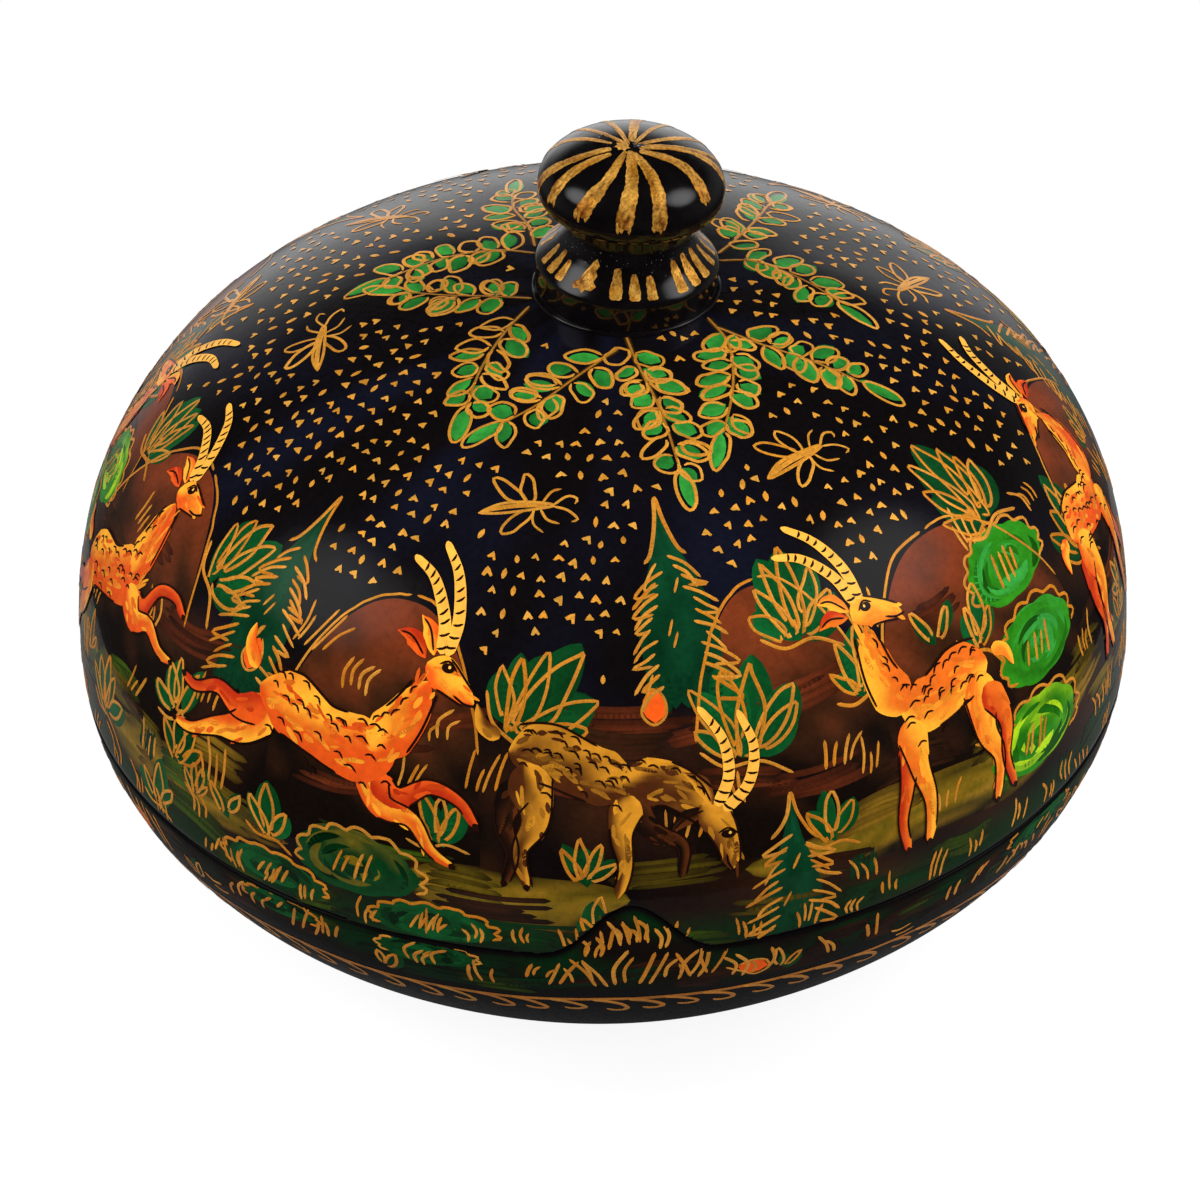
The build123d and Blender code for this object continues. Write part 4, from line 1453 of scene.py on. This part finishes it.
turn = -176.0
while turn < 184:
    top = float(peak_at(turn)) - vary(1.0, 2.4)
    kind = draw.random()
    if kind < 0.62:
        height = vary(3.2, 5.8)
        grass(around(turn, top - height), pick([2, 3, 4]), height, vary(-30, 30), 1.5, bowl_gold, 0.66)
    elif kind < 0.82:
        clump(around(turn, top - 5.6, vary(-25, 25)), 2, vary(4.5, 5.6), 50, DARK_LEAF, False, bowl_coats)
    else:
        here = around(turn, top - vary(3, 6))
        gold_line(bowl_gold, here, [(-2, 0.4), (-0.4, -0.3), (1.6, 0.2)], 0.66)
        gold_line(bowl_gold, here, [(-0.6, -1.6), (1.0, -1.9), (2.6, -1.3)], 0.6)
    turn += vary(3.2, 6.4)
for turn, size in ((-8, 5.4), (-5.4, 6.0), (-3, 7.2), (-1, 6.4), (1.6, 6.6), (4.2, 6.0), (7, 5.2)):
    top = float(peak_at(turn))
    foot = min(top - size - 1.4, vary(-7.5, -5))
    grass(around(turn, foot), 2, size, vary(-34, 34), 1.9, bowl_gold, 0.7)
for turn, size in ((-4.2, 3.4), (-2.6, 4.2), (-0.6, 4.6), (1.4, 4.4), (3.4, 3.6)):
    top = float(peak_at(turn))
    grass(around(turn, top - size - 1.3), 2, size, vary(-24, 24), 1.3, bowl_gold, 0.66)
turn = -180.0
while turn < 180:
    turn += vary(2.0, 4.0)
    tone = pick([DARK_LEAF * 0.7, DEEP_LEAF * 0.35, MOSS * 0.5, UMBER, UMBER * 0.7])
    brushed(around(turn, vary(-7.5, -1.5), vary(-8, 8)), vary(7, 16), 2.6, tone, BLACK, bowl_greens, 0.02)
for turn, low in ((13, -5.5), (-64, -5.5), (74, -6), (148, -5.5), (214, -6)):
    bud(around(turn, low, 80), 4.4, bowl_coats)
for turn, low, wide, tall in (
    (-22, -2.6, 13, 4.6), (-40, -2.4, 12, 4.0), (52, -2.6, 13, 4.4), (96, -2.6, 14, 4.6),
    (136, -2.4, 12, 4.2), (232, -2.6, 14, 4.4),
):
    bush(around(turn, low), wide, tall, DARK_LEAF, DEEP_LEAF, 0.1, 2, bowl_coats)

# --- Gold of the knob
FOOT_CHART_RADIUS = 10.5  # the neck's radius where its gold lies
cap_sheet = Sheet(cap_skin, polar_chart(cap_skin))
foot_sheet = Sheet(stem_skin, wrapped_chart(FOOT_CHART_RADIUS))


def torn_end(t, length, width):
    """A leaf-gold stroke's ends, ragged where the leaf tore."""
    rough = 1 + 0.07 * np.sin(t * length * 1.9 + length * 9) + 0.05 * np.sin(t * length * 6.1)
    return rounded(t, length, width, 0.15, 0.2, 0.12, 0.22) * rough


def leaf_gold(t, c):
    """Colours of leaf gold, specked all over and rubbed off towards its end."""
    seed = vary(0, 9)
    worn = np.maximum(wobble(t * 7 + c, c * 2 + t * 4, 1.0, seed), 0) * (0.5 + t)
    speck = np.abs(np.sin(t * 917.3 + c * 311.7 + seed) * 4375.85) % 1
    bright = 0.35 * speck + 0.9 * wobble(t * 4 + seed, c * 0.8 + seed, 1.0, seed)
    gilt = mix(mix(GOLD * 0.8, PALE_GOLD * 1.1, 0.4 + bright), DULL_GOLD * 0.5, worn * 0.7 + 0.8 * speck**5)
    rubbed = np.clip((t - 0.6) / 0.4, 0, 1) * (wobble(t * 11 + 2 * c, c * 3, 1.0, 2 * seed) + 0.25)
    return mix(gilt, BARE_SIZE, 1.3 * rubbed)


# The cap's strokes run out from the hub, and the star of leaf lies where they begin.
hub, star, STAR_POINTS = np.array([-0.4, -0.8]), np.array([-1.5, -0.7]), 14
# Strokes of the cap: turn, reach as a share of the cap's arc, width at start, middle and end, bend.
for turn, reach, start_width, middle_width, end_width, bend in (
    (172, 0.98, 0.9, 1.5, 2.6, 0.2), (147, 0.93, 0.5, 0.8, 1.2, 0.3), (121, 0.96, 0.7, 1.0, 1.3, -0.4),
    (101, 0.88, 0.6, 0.8, 0.9, -0.6), (84, 1.0, 1.1, 1.5, 1.9, 1.4), (52, 0.86, 0.9, 1.7, 2.3, 1.5),
    (14, 0.97, 0.8, 1.8, 2.5, 0.9), (-8, 0.95, 0.9, 1.8, 2.7, 0.7), (-36, 0.92, 0.6, 1.5, 2.7, 1.1),
    (-62, 0.95, 0.8, 1.6, 2.2, -0.3), (-84, 1.0, 1.0, 1.5, 2.0, 0.7), (-113, 0.93, 0.5, 1.0, 1.3, -0.5),
    (-139, 0.97, 0.6, 0.8, 1.3, 0.3), (-160, 0.88, 0.5, 0.9, 1.0, -0.2),
):
    out = np.array([sin(radians(turn)), -cos(radians(turn))])
    side = np.array([-out[1], out[0]])
    start = hub + out * (vary(0.7, 1.6) + (1.7 if abs(turn + 86) < 40 else 0.0))
    end = out * cap_skin.top * reach
    middle = (start + end) / 2 + side * bend
    widths = [start_width, middle_width * 0.85, middle_width]
    widths += [end_width * vary(0.85, 1.05), end_width * vary(0.8, 1.0)]
    stroke(knob_gold, cap_sheet, [start, middle, end], widths, leaf_gold, 0.03, 0.04, 7, torn_end, 0.3)
    for torn in (-0.36, -0.1, 0.14, 0.36):
        root = end - out * 0.9 + side * torn * end_width
        tip = end + out * vary(-0.1, 1.0) + side * (torn * end_width + vary(-0.2, 0.2))
        stroke(knob_gold, cap_sheet, [root, tip], vary(0.35, 0.8), leaf_gold, 0.034, 0.02, 3, step=0.3)
star_edge = []
for i in range(STAR_POINTS):
    a = 2 * pi * i / STAR_POINTS
    far = vary(0.95, 1.25) if i % 2 else vary(0.65, 0.85)
    star_edge.append(star + np.array([cos(a), sin(a)]) * far)
blob(knob_gold, cap_sheet, star, star_edge, lambda share, u, v: leaf_gold(u, v), 0.088, 5)


def ragged(x, y, wide, tall, count=13):
    """An uneven outline round a place."""
    turns = np.arange(count) * 2 * pi / count
    far = np.array([vary(0.65, 1.1) for _ in turns])
    return np.stack([x + np.cos(turns) * far * wide / 2, y + np.sin(turns) * far * tall / 2], -1)


# Chips in the cap's lacquer, and dust in the neck and round the foot.
DUST_FLECKS = 190
for x, y, size in ((0.5, -0.5, 1.3), (1.2, -0.3, 0.8), (0.1, 0.1, 0.6), (-4.6, 2.3, 0.8), (-4.0, 2.8, 0.5)):
    blob(knob_gold, cap_sheet, (x, y), ragged(x, y, size, size * 0.8), CHIP, 0.09, 3)
    blob(knob_gold, cap_sheet, (x, y), ragged(x + 0.1, y, size * 0.3, size * 0.2), DUST, 0.1, 2)
for _ in range(DUST_FLECKS):
    turn, rise, size = vary(-180, 180), draw.gauss(10.2, 1.2), vary(0.08, 0.22)
    x = FOOT_CHART_RADIUS * radians(turn)
    fleck = ragged(x, rise, size, size, 5)
    blob(knob_gold, foot_sheet, (x, rise), fleck, DUST * vary(0.1, 0.6), 0.012, 2)

# Outline of the shoulder's broad torn patch.
TORN_PATCH = [(-0.3, 2.1), (0.2, 2.5), (0.8, 1.7), (0.6, 1.0), (1.1, 0.4), (0.9, -0.5), (1.5, -1.1)]
TORN_PATCH += [(1.0, -1.8), (0.3, -1.8), (0.1, -2.4), (-0.5, -1.9), (-1.2, -2.2), (-1.7, -1.5), (-1.1, -0.8)]
TORN_PATCH += [(-1.0, 0.3), (-0.6, 1.2)]

# Strokes of the foot's shoulder: turn, length and width.
for turn, length, wide in (
    (-11, 4.0, 1.9), (2, 3.3, 1.7), (14, 3.0, 1.6), (37, 4.3, 1.9), (50, 4.5, 2.0), (63, 4.3, 1.9),
    (79, 3.4, 1.4), (91, 3.2, 1.1), (104, 3.0, 1.0), (-34, 4.6, 3.6), (-56, 2.8, 1.5), (-67, 3.4, 1.7),
    (-79, 3.0, 1.5), (-101, 3.0, 1.0), (-111, 3.0, 1.0), (-121, 2.8, 1.0), (-148, 3.4, 1.3),
    (-160, 3.3, 1.3), (-171, 3.4, 1.2), (166, 3.6, 1.3), (154, 3.2, 1.2), (133, 3.4, 1.2), (122, 3.0, 1.1),
):
    x = FOOT_CHART_RADIUS * radians(turn)
    if wide > 2.5:
        edge = [(x + 1.0 * u + 0.1 * v + vary(-0.1, 0.1), 7.4 + 1.05 * v) for u, v in TORN_PATCH]

        def patch_gold(share, u, v):
            return leaf_gold(0.7 + 0.3 * (x - u), v)

        blob(knob_gold, foot_sheet, (x, 7.0), edge, patch_gold, 0.035, 9)
        continue
    lean = vary(-0.3, 0.3)
    widths = [wide * 0.8, wide * 0.85, wide * 0.75, wide * 0.5]
    path = [(x, 4.95), (x + lean * 0.5, 5.1 + length / 2), (x + lean, 5.4 + length)]
    stroke(knob_gold, foot_sheet, path, widths, leaf_gold, 0.03, 0.04, 7, torn_end, 0.3)


for coat in (greens, hills, figures, ink, gold, sky_gold, spray_gold, bowl_greens, bowl_gold, knob_gold):
    coat.finish()

# --- The stage
FLOOR_RADIUS, FLOOR_POINTS = 150, 96
ring = np.radians(np.arange(FLOOR_POINTS) * 360 / FLOOR_POINTS)
ring_points = np.stack([FLOOR_RADIUS * np.cos(ring), FLOOR_RADIUS * np.sin(ring), 0 * ring], -1)
white, tree, shader = material("floor_white")
whiten = joined(tree, "MULTIPLY", put(tree, "LightPath", {}, "Is Camera Ray"), 0.9)
matt = {"Base Color": (0.15, 0.15, 0.15, 1), "Roughness": 0.9, "Specular IOR Level": 0.0}
set_inputs(tree, shader, {**matt, "Emission Color": (1, 1, 1, 1), "Emission Strength": whiten})
floor = mesh_object("floor", ring_points, [list(range(FLOOR_POINTS))], white)
floor.location.z = -0.0003

world = bpy.data.worlds.new("studio")
bpy.context.scene.world = world
world.use_nodes = True
tree = world.node_tree
toward = put(tree, "TexCoord", {}, "Generated")
aside, behind, above = (put(tree, "SeparateXYZ", {0: toward}, axis) for axis in "XYZ")


def ramp(value, from_low, from_high, low, high):
    return span(tree, value, low, high, from_low, from_high, interpolation_type="SMOOTHSTEP")


# The white surround is seen low down and behind the box; overhead and in front the studio is dark.
surround = joined(tree, "MULTIPLY", ramp(above, 0.16, 0.44, 1.0, 0.0), ramp(behind, -0.7, 0.25, 0.03, 1.0))
aside = joined(tree, "ABSOLUTE", aside)
surround = joined(tree, "MULTIPLY", surround, ramp(aside, 0.2, 0.6, 1.0, 0.1))
surround = joined(tree, "MULTIPLY", surround, ramp(above, -0.5, -0.05, 0.1, 1.0))
for across in (-0.72, 0.72):
    glow_way = (across, -0.04, sqrt(1 - across**2 - 0.04**2))
    glow = put(tree, "VectorMath", {0: toward, 1: glow_way}, "Value", operation="DOT_PRODUCT")
    surround = joined(tree, "MAXIMUM", surround, ramp(glow, 0.94, 1.0, 0.0, 2.4))
seen, mirrored, through, lit = (
    put(tree, "LightPath", {}, f"Is {kind} Ray") for kind in ("Camera", "Glossy", "Transmission", "Diffuse")
)
shown = joined(tree, "MULTIPLY", joined(tree, "MAXIMUM", mirrored, through), surround)
shown = joined(tree, "MAXIMUM", shown, seen)
strength = joined(tree, "MAXIMUM", shown, joined(tree, "MULTIPLY", lit, 0.6))
set_inputs(tree, tree.nodes["Background"], {"Strength": strength, "Color": (1, 1, 1, 1)})

# Lamps, which the lacquer doesn't mirror: place, aim, width, height and power.
for name, place, aim, width, height, power in (
    ("left_lamp", (-1.1, -0.2, 0.9), (0, 0, 0.05), 0.5, 0.7, 11.3),
    ("right_lamp", (1.1, 0.1, 0.9), (0, 0, 0.05), 0.5, 0.7, 11.3),
    ("front_lamp", (0.2, -1.5, 1.4), (0, 0, 0.03), 0.7, 0.5, 10),
    ("low_lamp", (1.0, -0.8, 0.16), (0, 0, 0.04), 0.6, 0.4, 4.5),
):
    light = bpy.data.lights.new(name, "AREA")
    light.shape = "RECTANGLE"
    light.size, light.size_y, light.energy = width, height, power
    made = bpy.data.objects.new(name, light)
    made.location = place
    made.rotation_euler = (Vector(aim) - Vector(place)).to_track_quat("-Z", "Y").to_euler()
    made.visible_glossy = False
    bpy.context.scene.collection.objects.link(made)

# --- The camera
CAMERA_DISTANCE = 0.9
azimuth, elevation, roll = radians(-2.06), radians(35.87), radians(-1.3)
pivot = Vector((0, 0, 0.038))
out = Vector((sin(azimuth) * cos(elevation), -cos(azimuth) * cos(elevation), sin(elevation)))
right = Vector((cos(azimuth), sin(azimuth), 0))
up = out.cross(right)
turned_right = right * cos(roll) + up * sin(roll)
turned_up = -right * sin(roll) + up * cos(roll)
lens = bpy.data.cameras.new("camera")
lens.lens, lens.sensor_width = 188.3, 36.0
lens.shift_x, lens.shift_y = -0.0031, 0.0136
lens.clip_start, lens.clip_end = 0.05, 20.0
camera = bpy.data.objects.new("camera", lens)
rows = [(turned_right[i], turned_up[i], out[i], pivot[i] + CAMERA_DISTANCE * out[i]) for i in range(3)]
camera.matrix_world = Matrix([*rows, (0, 0, 0, 1)])
bpy.context.scene.collection.objects.link(camera)
bpy.context.scene.camera = camera
bpy.context.scene.view_settings.view_transform = "Standard"
